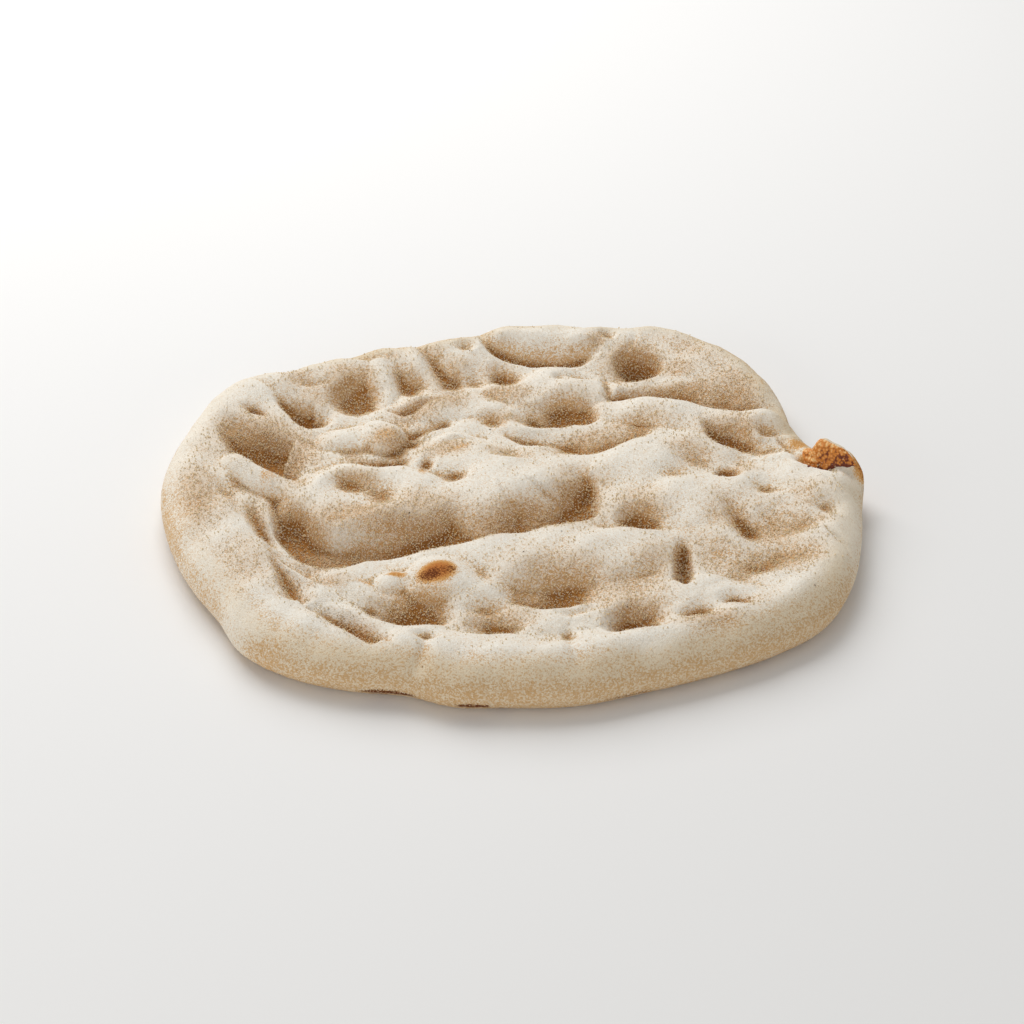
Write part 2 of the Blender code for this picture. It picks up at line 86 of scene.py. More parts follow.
# Finger presses: x, y of the deepest point, half length, near reach (-Y), far reach, turn, depth, flatness.
PRESSES = (
    # back left, between the rim and the middle
    (-109, 56, 7, 3, 4, -20, 3.0, 1.4),
    (-66, 70, 12, 11, 12, 6, 6.0, 1.7),
    (-62, 99, 13, 4, 7, 4, 3.0, 1.5),
    (-26, 87, 8, 8, 8, 0, 4.0, 1.4),
    (-3, 90, 8, 8, 12, -12, 5.5, 1.3),
    (-15, 88, 10, 7, 10, 0, 4.0, 1.3),
    (-18, 108, 5, 3, 5, 0, 2.5, 1.6),
    # back right
    (58, 96.5, 11, 8, 9, -3, 10.5, 1.7),
    (26, 61, 14, 9, 14, 2, 8.0, 1.7),
    (34, 60, 6, 9, 13, 0, 5.5, 1.9),
    (13, 58, 11, 7, 10, 0, 6.0, 1.3),
    (-6, 55, 7, 4.5, 6, 10, 1.8, 1.4),
    (46, 116, 5, 4, 5, 0, 2.5, 1.4),
    (22, 85, 4, 3, 4, 0, 2.0, 1.5),
    (31, 88, 10, 3, 5, 0, 2.0, 1.4),
    (93, 14, 6, 4, 5, -5, 4.0, 1.4),
    (79, 24, 14, 8, 11, -25, 2.5, 1.7),
    (108, 1, 10, 5, 9, -20, 2.5, 1.4),
    (131, -16, 8, 5, 8, -30, 2.0, 1.5),
    (130, 14, 11, 4, 4, -38, 6.0, 2.0),
    # middle, with the dish in the left mound
    (-59, -3, 18, 16, 11, -6, 7.0, 1.9),
    (-66, 1, 11, 10, 9, -10, 6.0, 1.6),
    (-34, 19, 4, 4, 6, 0, 3.0, 1.3),
    (-41, 35, 4, 3, 4, 0, 1.5, 1.6),
    (-21, 9, 8, 5, 12, 15, 2.2, 1.2),
    (0, 26, 12, 5, 7, -5, 2.2, 1.5),
    (53, -20, 10, 7, 12, -12, 8.0, 1.3),
    (98, -24, 7, 8, 20, 22, 6.0, 1.2),
    (112, -25, 20, 12, 14, -5, 4.0, 1.5),
    (108, -48, 27, 11, 15, 12, 5.0, 1.5),
    (84, -44, 14, 9, 14, -5, 1.6, 1.6),
    # front
    (89, -80, 8, 4, 8, 5, 4.5, 1.4),
    (77, -87, 11, 6, 9, 0, 3.0, 1.4),
    (51, -94, 12, 5, 15, -6, 10.5, 1.3),
    (18, -73, 23, 6, 21, -6, 7.5, 1.3),
    (30, -82, 12, 4, 6, 10, 3.0, 1.4),
    (-4, -91, 12, 6, 9, 18, 6.0, 1.3),
    (-10, -80, 14, 7, 12, 0, 2.0, 1.4),
    (-38, -84, 17, 8, 12, -3, 9.0, 1.5),
    (-31, -104, 6, 5, 6, 0, 4.0, 1.3),
    (24, -101, 3.5, 6, 9, 0, 2.5, 1.4),
    (-121, -24, 8, 15, 15, 5, 1.2, 1.6),
)

# Folds: flatness of the floor, then points x, y, near (right-hand) and far half width, and depth.
FOLDS = (
    # big press at the back left, with a steep lip at the lower left
    (1.7, (-128, 50, 4, 6, 0.5), (-121, 41, 6, 12, 5), (-113, 28.5, 8, 21, 11),
     (-103, 18.5, 9, 27, 12.5), (-95, 13.5, 9, 27, 12), (-89, 17, 5, 20, 3.5), (-84, 19, 3, 14, 0.6)),
    # hollow behind it
    (1.3, (-114, 78, 2, 4, 1), (-107, 75, 2.5, 5, 1.8), (-101, 70, 3, 5, 2.2), (-96, 64, 4, 8, 5),
     (-91, 58, 5, 12, 8), (-85, 55, 6, 12, 7), (-79, 57, 5, 9, 3)),
    (1.3, (-95, 80, 3, 4, 0.6), (-87, 78.5, 3, 4, 1), (-79, 80, 3, 4, 0.6)),
    # under the left mound, along the rim and across the front
    (1.9, (-97, -6, 4, 6, 0.8), (-95, -14, 5, 8, 3.5), (-90, -24, 7, 9, 9.5), (-81, -35, 11, 10, 10.5),
     (-70, -42, 12, 13, 10), (-58, -39, 9, 13, 7.5), (-46, -37, 8, 14, 8), (-36, -36, 7, 15, 8.5),
     (-24, -35, 7, 17, 7.5), (-12, -32, 8, 17, 5.5), (-2, -28, 7, 18, 3)),
    # valley in front of the middle mound, turning up at its right end
    (1.3, (-14, -29, 6, 14, 3), (-4, -28, 6, 23, 5), (6, -26, 6, 29, 9.5), (16, -21, 6, 29, 10),
     (25, -17, 6, 27, 11.5), (31, -11, 6, 22, 12), (34, -2, 5, 18, 10), (35, 7, 4, 13, 4)),
    # second groove along the rim's inner side
    (1.4, (-107, -6, 5, 4, 0.5), (-105, -15, 6, 4, 2.5), (-101, -26, 6, 4, 4), (-94, -37, 6, 4, 4),
     (-86, -47, 5, 4, 2.5)),
    (1.2, (-125, 3, 3, 9, 0.8), (-119, -5, 3, 12, 1.5), (-114, -14, 3, 10, 1.5), (-110, -22, 3, 6, 0.6)),
    # foot of the rim's inner wall at the back
    (1.3, (-12, 116, 3, 5, 2), (-6, 108, 4, 9, 5.5), (5, 103.5, 4.5, 12, 7.5), (18, 100.5, 5, 12, 8),
     (30, 100, 5, 11, 5.5), (37, 104, 4, 7, 2.5), (42, 109, 3, 4, 1)),
    # behind the long ridge at the back right
    (1.4, (45, 76, 4, 5, 3), (52, 74.5, 5, 8, 5), (62, 73, 5, 8, 5.5), (78, 72.5, 6, 10, 3.5),
     (89, 67.5, 6, 18, 5), (100, 61.5, 6, 22, 7.5), (111, 57.5, 6, 20, 7.5), (123, 54, 5, 14, 4)),
    # up from the hole to the notch between two lobes of the rim
    (1.1, (50, 101, 3, 4, 1.5), (52, 104, 3, 4, 2), (55, 107, 2.5, 3, 1.5), (58, 111, 2, 3, 1),
     (59, 117, 2, 3, 0.5)),
    # small curl at the right end of the mound behind the middle
    (1.2, (42, 88, 3, 3, 1.5), (44, 81, 3, 4, 3.5), (46, 76, 3, 4, 2.5)),
    # two hollows and a valley behind the right rim
    (1.3, (85, 51, 3, 6, 1), (88, 45, 5, 10, 6), (93, 40, 6, 14, 9), (98, 37, 6, 12, 7.5),
     (104, 33, 5, 6, 3)),
    (1.3, (103, 42, 3, 5, 2.5), (108, 39, 4, 8, 4), (114, 38, 4, 7, 4), (121, 38, 3, 5, 2.5)),
    (1.2, (106, 31, 5, 7, 2.5), (113, 29, 5, 7, 3), (120, 27, 4, 5, 2)),
    # valley behind the middle mound
    (1.3, (0, 47, 4, 5, 2), (10, 42, 6, 9, 4), (20, 38.5, 7, 12, 4.5), (28, 33.5, 7.5, 13, 5),
     (37, 34, 7, 12, 4.5), (46, 38, 6, 12, 4.5), (54, 42, 5, 9, 2.5), (61, 46, 5, 6, 0.6)),
    # behind the left mound
    (1.6, (-78, 31, 4, 4, 0.4), (-68, 27, 4, 5, 0.5), (-60, 23, 4, 4, 0.8), (-52, 21, 4, 4, 1.5),
     (-44, 23, 4, 4, 1)),
    # creases between the knob and the rim
    (1.2, (-42, 43, 2.5, 4, 2.5), (-39, 47, 3, 5, 2.5), (-33, 50, 3, 6, 2), (-27, 52, 3, 4, 2)),
    (1.3, (-52, 65, 2, 3, 1.5), (-45, 62, 3, 6, 4), (-38, 65, 3, 6, 3.5), (-30, 71, 3, 5, 2.5),
     (-22, 77, 3, 4, 2)),
    # two creases in the back field, each under a ridge
    (1.2, (-42, 111, 4, 9, 1.5), (-38, 104, 5, 12, 2.2), (-34, 97, 6, 13, 2.2), (-31, 90, 6, 14, 3),
     (-28, 84, 5, 10, 2.2)),
    (1.2, (-56, 98, 4, 8, 1), (-51, 91, 5, 11, 1.6), (-46, 83, 6, 12, 2.2), (-42, 77, 5, 9, 1.6)),
    (1.2, (-28, 34, 2, 3, 1), (-22, 38, 2.5, 3.5, 2), (-15, 37.5, 2, 3, 1)),
    # inner foot of the front-left rim
    (1.3, (-94, -44, 5, 7, 2), (-84, -53, 5, 9, 3.5), (-77, -60, 5, 9, 3), (-70, -67, 5, 9, 2),
     (-62, -74, 5, 9, 2), (-53, -80, 5, 7, 3.5)),
    # dimple and slot in the front-left rim
    (1.3, (-93, -50, 3, 6, 1.5), (-91, -58, 4, 8, 5), (-88, -68, 4, 12, 7.5), (-83, -77, 5, 9, 5)),
    (1.5, (-75, -83, 4, 8, 3), (-68, -90, 6, 10, 7.5), (-60, -97, 6, 11, 9), (-52, -103, 5, 10, 5)),
    # slot in the middle of the right side
    (1.2, (72, -35, 4, 4, 1.5), (72.5, -43, 6, 4, 7), (71.5, -52, 6, 3.5, 10), (69.5, -61, 5, 3.5, 9),
     (70.5, -67, 3, 2.5, 3)),
    # clefts over the front rim
    (1.1, (-32, -108, 4, 5, 2.5), (-34, -115, 4, 7, 2.5), (-37, -122, 4, 9, 3), (-40, -130, 4, 10, 3.5)),
    (1.1, (24, -108, 4, 5, 1.5), (25, -116, 4, 6, 1), (26, -124, 4, 6, 0.5)),
    # wrinkles and creases of the right rim
    (1.2, (112, 40, 2.5, 3, 1.5), (116, 33, 3, 4, 3), (119, 26, 3, 4, 2.5), (125, 19, 3, 3, 2)),
    (1.2, (134, 1, 2, 4, 1.0), (140, -4, 2, 5, 2), (147, -10, 2, 5, 2.5)),
    (1.2, (128, -32, 2, 3, 1.5), (135, -40, 2, 4, 3), (143, -49, 2, 4, 3)),
)

# Mounds and bubbles: x, y, half length, half width, turn, height, and how round the top is (low is blocky).
MOUNDS = (
    (-58, -8, 39, 29, -3, 8.0, 0.7),
    (2, 0, 34, 33, 0, 6.5, 0.8),
    (15, -44, 54, 21, 3, 5.5, 0.9),
    (-27, -62, 17, 14, 0, 6.0, 0.8),
    (-46, -62, 9, 7, 0, 3.0, 0.9),
    (60, 28, 42, 24, 15, 5.0, 1.1),
    (86, 53, 46, 13, -18, 5.5, 0.8),
    (60, 64, 24, 10, 0, 4.5, 0.8),
    (17, 111, 32, 10, 0, 2.5, 0.8),
    (20, 81, 32, 14, 0, 4.5, 0.9),
    (-68, 40, 16, 10, 8, 4.5, 0.8),
    (-54, 40, 10, 11, 0, 6.5, 0.4),
    (74, -4, 38, 21, 0, 4.0, 1.1),
    (118, 4, 32, 16, -15, 3.5, 1.0),
    (74, -72, 24, 14, 10, 4.5, 1.0),
    (-56, 84, 8, 16, 0, 3.5, 0.8),
    (-101, 6, 22, 10, -30, 6.5, 0.7),
    (-14, -68, 16, 14, 0, 2.5, 1.0),
    (36, -80, 12, 14, 0, 2.5, 1.0),
    (-65, -67, 18, 9, -35, 3.0, 0.9),
    (-26, 66, 26, 11, 8, 4.0, 0.9),
    (-22, 27, 25, 17, 0, 4.0, 1.0),
    (-38, 95, 5, 17, 25, 2.5, 0.9),
    (44, -34, 22, 10, 20, 3.0, 1.0),
    (104, 44, 3, 9, 15, 3.0, 1.0),
)

# Burst bubble on the right rim: its wall stands up along this line (x, y, top height, outer, inner width).
FLAP = ((126.5, 27, 17, 2.0, 3), (129.5, 25, 19.5, 2.0, 6), (131.5, 23.8, 24.5, 2.2, 9),
        (133.5, 22.2, 26.5, 2.3, 10), (136.5, 19.8, 26, 2.5, 9), (140, 17, 25.5, 2.6, 6),
        (144.5, 13, 23.5, 2.6, 3.5), (147.5, 9, 19, 2.6, 2.6), (148, 4, 14, 2.4, 2.4))


def periodic(points, bearing):
    """Smooth closed curve through (bearing, value) points, by Catmull-Rom spans."""
    at = np.array([p[0] for p in points], float)
    value = np.array([p[1] for p in points], float)
    order = np.argsort(at)
    at, value = at[order], value[order]
    at = np.concatenate([at[-2:] - 360, at, at[:2] + 360])
    value = np.concatenate([value[-2:], value, value[:2]])
    bearing = (bearing + 180) % 360 - 180
    bearing = np.where(bearing < at[1], bearing + 360, bearing)
    span = np.clip(np.searchsorted(at, bearing, side="right") - 1, 1, len(at) - 3)
    a0, a1, a2, a3 = (at[span + k] for k in (-1, 0, 1, 2))
    v0, v1, v2, v3 = (value[span + k] for k in (-1, 0, 1, 2))
    t = (bearing - a1) / (a2 - a1)
    m1 = (v2 - v0) / (a2 - a0) * (a2 - a1)
    m2 = (v3 - v1) / (a3 - a1) * (a2 - a1)
    bend = (t**3 - 2*t**2 + t) * m1 + (t**3 - t**2) * m2
    return (2*t**3 - 3*t**2 + 1) * v1 + (3*t**2 - 2*t**3) * v2 + bend


def smooth_line(points, per_span=6):
    """Points of a smooth curve through the given ones (all columns are carried along)."""
    p = np.array(points, float)
    p = np.vstack([2 * p[0] - p[1], p, 2 * p[-1] - p[-2]])
    out = []
    for k in range(1, len(p) - 2):
        for t in np.linspace(0, 1, per_span, endpoint=False):
            out.append(0.5 * (2*p[k] + (p[k+1]-p[k-1])*t + (2*p[k-1]-5*p[k]+4*p[k+1]-p[k+2])*t**2
                              + (3*p[k]-p[k-1]-3*p[k+1]+p[k+2])*t**3))
    out.append(p[-2])
    return np.array(out)


def along_line(x, y, points):
    """Distance to a smooth line, which side of it, and the line's other columns at the nearest point."""
    line = smooth_line(points)
    best = np.full(x.shape, 1e9)
    side = np.zeros(x.shape)
    carried = np.zeros(x.shape + (line.shape[1] - 2,))
    past = np.zeros(x.shape)
    last = len(line) - 2
    for k in range(last + 1):
        a, b = line[k], line[k + 1]
        d = b[:2] - a[:2]
        raw = ((x - a[0]) * d[0] + (y - a[1]) * d[1]) / (d @ d)
        t = np.clip(raw, 0, 1)
        px, py = x - a[0] - t * d[0], y - a[1] - t * d[1]
        dist = np.hypot(px, py)
        hit = dist < best
        best = np.where(hit, dist, best)
        side = np.where(hit, d[0] * py - d[1] * px, side)
        carried = np.where(hit[..., None], a[2:] + t[..., None] * (b[2:] - a[2:]), carried)
        over = 0.0
        if k == 0:
            over = np.maximum(-raw, 0) * np.hypot(*d)
        if k == last:
            over = np.maximum(raw - 1, 0) * np.hypot(*d)
        past = np.where(hit, over, past)
    return best, side, carried, past


def local(x, y, cx, cy, turn):
    """Plan positions seen from a place that is turned by some degrees."""
    c, s = math.cos(math.radians(turn)), math.sin(math.radians(turn))
    return (x - cx) * c + (y - cy) * s, (y - cy) * c - (x - cx) * s


def stir(x, y):
    """Shifts plan positions a little, so that no press or mound stays a true oval."""
    dx = 0.9 * np.sin(y / 8.1 + 0.4) + 0.5 * np.sin((x + y) / 6.7 + 2.0) + 0.3 * np.sin((x - 2 * y) / 6.3)
    dy = 0.9 * np.sin(x / 7.7 + 1.1) + 0.5 * np.sin((x - y) / 7.1 + 0.7) + 0.3 * np.sin((2 * x + y) / 7.3)
    return x + dx, y + dy


def uneven(x, y):
    """The slow unevenness of a hand-stretched dough."""
    waves = 0.45 * np.sin(x / 5.3 + y / 9.1 + 0.8) + 0.45 * np.sin(y / 4.9 - x / 11.3 + 2.1)
    waves += 0.3 * np.sin(x / 3.4 - y / 4.1) + 0.3 * np.sin(x / 3.9 + y / 3.1 + 1.3)
    return waves


def rounded(r):
    """A share of the way out from the bottom of a press, with the bottom point rounded off."""
    return (np.sqrt(r * r + BOTTOM ** 2) - BOTTOM) / (math.sqrt(1 + BOTTOM ** 2) - BOTTOM)


def press(x, y, cx, cy, half, near, far, turn, depth, flat):
    """Depth of one finger press, and the lip of dough raised round it."""
    u, v = local(x, y, cx, cy, turn)
    r = np.hypot(u / half, v / np.where(v < 0, near, far))
    bowl = np.clip(1 - rounded(r / SPREAD) ** flat, 0, 1) ** 2
    apron = (1 - np.clip(r / APRON, 0, 1) ** 2) ** 2
    lip = LIP * depth * np.exp(-((r - 1.22) / 0.2) ** 2)
    return depth * ((1 - APRON_SHARE) * bowl + APRON_SHARE * apron), lip


def fold(x, y, flat, *points):
    """Depth of one fold."""
    dist, side, carried, _ = along_line(x, y, points)
    width = np.where(side < 0, carried[..., 0], carried[..., 1])
    r = np.clip(dist / width / FOLD_SPREAD, 0, 1)
    return carried[..., 2] * np.clip(1 - rounded(r) ** flat, 0, 1) ** 2


def relief(x, y, inside):
    """Height of the top over the table; inside is the plan distance in from the outline."""
    bearing = np.degrees(np.arctan2(y, x))
    x, y = stir(x, y)
    crest = RIM_HEIGHT + periodic(CREST, bearing)
    reach = periodic(RIM_REACH, bearing)
    start = 0.7 * periodic(RIM_ROUND, bearing)
    t = np.clip((inside - start) / (reach - start), 0, 1)
    level = crest + (FIELD_HEIGHT - crest) * t ** 1.6 * (1 + 0.6 * (1 - t))
    heaped = np.zeros(x.shape)
    for cx, cy, a, b, turn, height, puff in MOUNDS:
        u, v = local(x, y, cx, cy, turn)
        heaped += (height * np.clip(1 - (u / a) ** 2 - (v / b) ** 2, 0, 1) ** puff) ** 2
    level = level + np.sqrt(heaped) + uneven(x, y)
    total = np.zeros(x.shape)
    for p in PRESSES:
        depth, lip = press(x, y, *p)
        total += depth ** UNION
        level = level + lip
    for f in FOLDS:
        total += fold(x, y, *f) ** UNION
    z = level - total ** (1 / UNION)
    return FLOOR + np.logaddexp(0, (z - FLOOR) / 0.8) * 0.8


def flap(x, y, z):
    """Raises the torn wall of the burst bubble out of the rolled side."""
    dist, side, carried, past = along_line(x, y, FLAP)
    top, outer = carried[..., 0], carried[..., 1]
    width = np.where(side < 0, carried[..., 2], outer)
    share = 1 - np.clip((dist - 0.35 * outer) / width, 0, 1)
    share = share * share * (3 - 2 * share) * np.clip(1 - past / 3, 0, 1)
    return np.maximum(z, z + (top - z) * share)


# How the faces of the round blank are shared out: the top with its rolled side, then the tuck below it.
TOP_SHARE = 0.478
TUCK_SHARE = 0.059
ROLL = 1.25            # length of the rolled side over its surface, as a share of its plan width


def to_dough(unit):
    """Moves points of a unit ball onto the dough's surface, in millimetres."""
    x, y, z = unit.T
    polar = np.arccos(np.clip(z, -1, 1))
    bearing = np.degrees(np.arctan2(y, x))
    east, north = np.cos(np.radians(bearing)), np.sin(np.radians(bearing))
    reach = periodic(OUTLINE, bearing)
    wide = periodic(RIM_ROUND, bearing)
    top_angle = math.acos(1 - 2 * TOP_SHARE)
    tuck_angle = math.acos(1 - 2 * (TOP_SHARE + TUCK_SHARE))
    # top and rolled side
    flat = reach - wide
    path = np.sin(np.minimum(polar, top_angle) / 2) / math.sin(top_angle / 2) * (flat + ROLL * wide)
    roll = np.clip((path - flat) / (ROLL * wide), 0, 1) * math.pi / 2
    r_top = np.where(path < flat, path, flat + wide * np.sin(roll))
    rise = np.where(path < flat, 1.0, np.cos(roll))
    z_top = BULGE_HEIGHT + (relief(r_top * east, r_top * north, reach - r_top) - BULGE_HEIGHT) * rise
    z_top = flap(r_top * east, r_top * north, z_top)
    # tuck under the side
    under = np.clip((polar - top_angle) / (tuck_angle - top_angle), 0, 1) * math.pi / 2
    r_tuck = reach - TUCK * (1 - np.cos(under))
    z_tuck = BULGE_HEIGHT * (1 - np.sin(under))
    # flat base
    inner = np.sin((math.pi - np.maximum(polar, tuck_angle)) / 2) / math.sin((math.pi - tuck_angle) / 2)
    r_flat = (reach - TUCK) * inner
    top = polar <= top_angle
    tuck = (polar > top_angle) & (polar <= tuck_angle)
    r = np.where(top, r_top, np.where(tuck, r_tuck, r_flat))
    height = np.where(top, z_top, np.where(tuck, z_tuck, 0.0))
    return np.stack([r * east, r * north, height], 1)


# ---------------------------------------------------------------- modelling helpers

def only(obj):
    """Makes obj the one selected and active object."""
    bpy.ops.object.select_all(action="DESELECT")
    obj.select_set(True)
    bpy.context.view_layer.objects.active = obj


def points(mesh):
    """Where a mesh's points are, in metres."""
    co = np.empty(len(mesh.vertices) * 3, np.float32)
    mesh.vertices.foreach_get("co", co)
    return co.reshape(-1, 3).astype(float)


def set_points(mesh, co):
    """Puts a mesh's points elsewhere."""
    mesh.vertices.foreach_set("co", co.astype(np.float32).ravel())
    mesh.update()


def normals(mesh):
    """Which way a mesh's surface faces at its points."""
    out = np.empty(len(mesh.vertices) * 3, np.float32)
    mesh.vertex_normals.foreach_get("vector", out)
    return out.reshape(-1, 3).astype(float)


def edge_ends(mesh):
    """The two points of each edge."""
    ends = np.empty(len(mesh.edges) * 2, np.int64)
    mesh.edges.foreach_get("vertices", ends)
    return ends.reshape(-1, 2)


def smoothed(values, ends, rounds):
    """Values averaged over the mesh's edges again and again."""
    count = len(values)
    degree = np.bincount(ends.ravel(), minlength=count).astype(float)
    degree[degree == 0] = 1
    out = values.reshape(count, -1).astype(float)
    for _ in range(rounds):
        total = np.empty_like(out)
        for c in range(out.shape[1]):
            total[:, c] = (np.bincount(ends[:, 0], out[ends[:, 1], c], count)
                           + np.bincount(ends[:, 1], out[ends[:, 0], c], count))
        out = 0.3 * out + 0.7 * total / degree[:, None]
    return out.reshape(values.shape)


def step(low, high, value):
    """0 below low, 1 above high, smooth between; low may be the greater of the two."""
    t = np.clip((value - low) / (high - low), 0, 1)
    return t * t * (3 - 2 * t)


def paint(mesh, name, values):
    """Stores a share from 0 to 1 at each point, for a material to read."""
    layer = mesh.attributes.new(name, "FLOAT", "POINT")
    layer.data.foreach_set("value", np.clip(values, 0, 1).astype(np.float32))


def clouds(obj, name, size, strength, depth=2):
    """Displaces a surface by a cloud pattern; size and strength are in millimetres."""
    texture = bpy.data.textures.new(name, "CLOUDS")
    texture.noise_scale = size * MM
    texture.noise_depth = depth
    texture.noise_basis = "ORIGINAL_PERLIN"
    push = obj.modifiers.new(name, "DISPLACE")
    push.texture = texture
    push.texture_coords = "LOCAL"
    push.strength = strength * MM
    push.mid_level = 0.5
    only(obj)
    bpy.ops.object.modifier_apply(modifier=name)


# ---------------------------------------------------------------- crust

BLANK_STEPS = 6          # rounds of splitting the faces of the round blank, as in the solid
FINE_CUTS = 3           # each face of the blank's top is cut this often along a side
SEAM_MARGIN = 0.03       # the finer faces reach this share of the ball's radius past the tuck
# Rounds of averaging that leave relief of about 1, 2, 4 and 8 mm.
ROUNDS = ((5, 24, 100, 320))

LINE_STEPS = 12          # steps of the torn wall's line from one given point to the next
SKIN_GRID = ((110, 46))    # faces of the skin along and down the wall
SKIN_THICK = 0.5         # thickness of the skin
SKIN_LIFT = 0.7          # how far the skin stands off the wall
SKIN_SINK = 0.15         # how far its rim lies in the wall
SKIN_TOP = 0.25          # it starts this share of the wall's half width in from the crest
SKIN_SLACK = 1.1         # over 1, the rows of faces lie closer near the seam
RAGGED = 0.25            # how uneven its lower edge is, as a share of its reach
RAGGED_STEP = 11         # that unevenness comes about this often along the wall
TORN = 0.5               # how jagged the torn edge is
TORN_STEPS = (9, 27)     # coarse and fine jags along the wall
BLISTER = 0.7            # height of the small blisters
BLISTER_SIZES = (2.3, 1.1)          # widths of large and small ones
# How far the browned skin runs down from the crest of the torn wall, by share of the wall's length.
SKIN = ((0.0, 3.5), (0.12, 8), (0.25, 10.5), (0.38, 12.5), (0.5, 10.5), (0.57, 8), (0.64, 5.5), (0.73, 3.2),
        (0.84, 1.2))


def crust_piece():
    """The dough in the solid's own form, with finer faces on top, and the shift that centres it."""
    bpy.ops.object.select_all(action="DESELECT")
    bpy.ops.mesh.primitive_ico_sphere_add(subdivisions=BLANK_STEPS, radius=1.0, location=(0, 0, 0))
    obj = bpy.context.object
    obj.name = "crust"
    # finer faces above the tuck
    seam = 1 - 2 * (TOP_SHARE + TUCK_SHARE)
    only(obj)
    bpy.ops.object.mode_set(mode="EDIT")
    bpy.ops.mesh.select_mode(type="FACE")
    bpy.ops.mesh.select_all(action="DESELECT")
    bpy.ops.object.mode_set(mode="OBJECT")
    for face in obj.data.polygons:
        face.select = face.center.z > seam - SEAM_MARGIN
    bpy.ops.object.mode_set(mode="EDIT")
    bpy.ops.mesh.subdivide(number_cuts=FINE_CUTS)
    bpy.ops.mesh.select_all(action="SELECT")
    bpy.ops.mesh.quads_convert_to_tris()
    bpy.ops.object.mode_set(mode="OBJECT")
    unit = points(obj.data)
    unit /= np.linalg.norm(unit, axis=1)[:, None]
    shaped = to_dough(unit)
    low, high = shaped.min(0), shaped.max(0)
    shift = np.array([(low[0] + high[0]) / 2, (low[1] + high[1]) / 2, low[2]])
    set_points(obj.data, (shaped - shift) * MM)
    return obj, shift


def spots(x, y, table):
    """Strength of a set of oval patches at plan positions x, y."""
    out = np.zeros(x.shape)
    for cx, cy, a, b, turn, strength in table:
        u, v = local(x, y, cx, cy, turn)
        out = np.maximum(out, strength * np.exp(-((u / a) ** 2 + (v / b) ** 2) ** 1.5))
    return out


# Toasted patches, some of them painted shade on front walls: x, y, half length, half width, turn, strength.
TOAST_AND_SHADE = (
    (-28, -62.5, 9, 7.5, 25, 1.0),      # round the burst bubble at the front
    (-44, -61, 5, 2.5, -10, 0.7),       # small bubble beside it
    (-100, 2, 5, 5, 0, 0.45),
    (-57, -64, 5, 2.5, 0, 0.45),
    (-20, 30, 6, 2.5, 25, 0.45),        # torn line behind the left mound
    (-36, 12, 2.5, 6, 0, 0.5),
    (-92, -106, 9, 8, 0, 0.3),
    (-62, -97, 13, 5, -38, 0.45),       # inside the long slot of the front-left rim
    (-52, 35, 8, 5, 0, 0.42),           # front wall of the knob: painted shade in toast colour
    (-28, -71, 10, 5, 0, 0.42),
    (-64, -24, 20, 8, 0, 0.34),         # front wall of the left mound: painted shade in toast colour
    (58, 96, 10, 6, 0, 0.34),
    (-112, -96, 6, 8, 0, 0.25),
    (124, 31, 6, 5, -20, 0.6),          # beside the burst blister
    (128, 19, 7, 3, -25, 0.7),
    (148, 12, 4, 8, 10, 0.8),           # outer side below it
)

# Charred patches.
CHAR = (
    (-30, -64, 6.5, 4.5, 15, 0.8),
    (-23, -62, 3.5, 3, 0, 0.65),
    (149, 12, 3, 7, 10, 0.5),
)

# Baked and charred foot of the edge, where it lay on the stone.
FOOT = (
    (-45, -120, 13, 8, -10, 1.0),
    (-13, -128, 8, 8, 0, 1.0),
    (45, -122, 18, 8, 20, 0.6),
    (104, -86, 16, 9, 45, 0.55),
    (-88, -102, 12, 8, -30, 0.5),
    (0, 128, 26, 9, 0, 0.7),
    (-70, 112, 18, 9, 25, 0.6),
    (96, 104, 18, 10, -40, 0.8),
    (-140, 30, 9, 22, 0, 0.6),
)
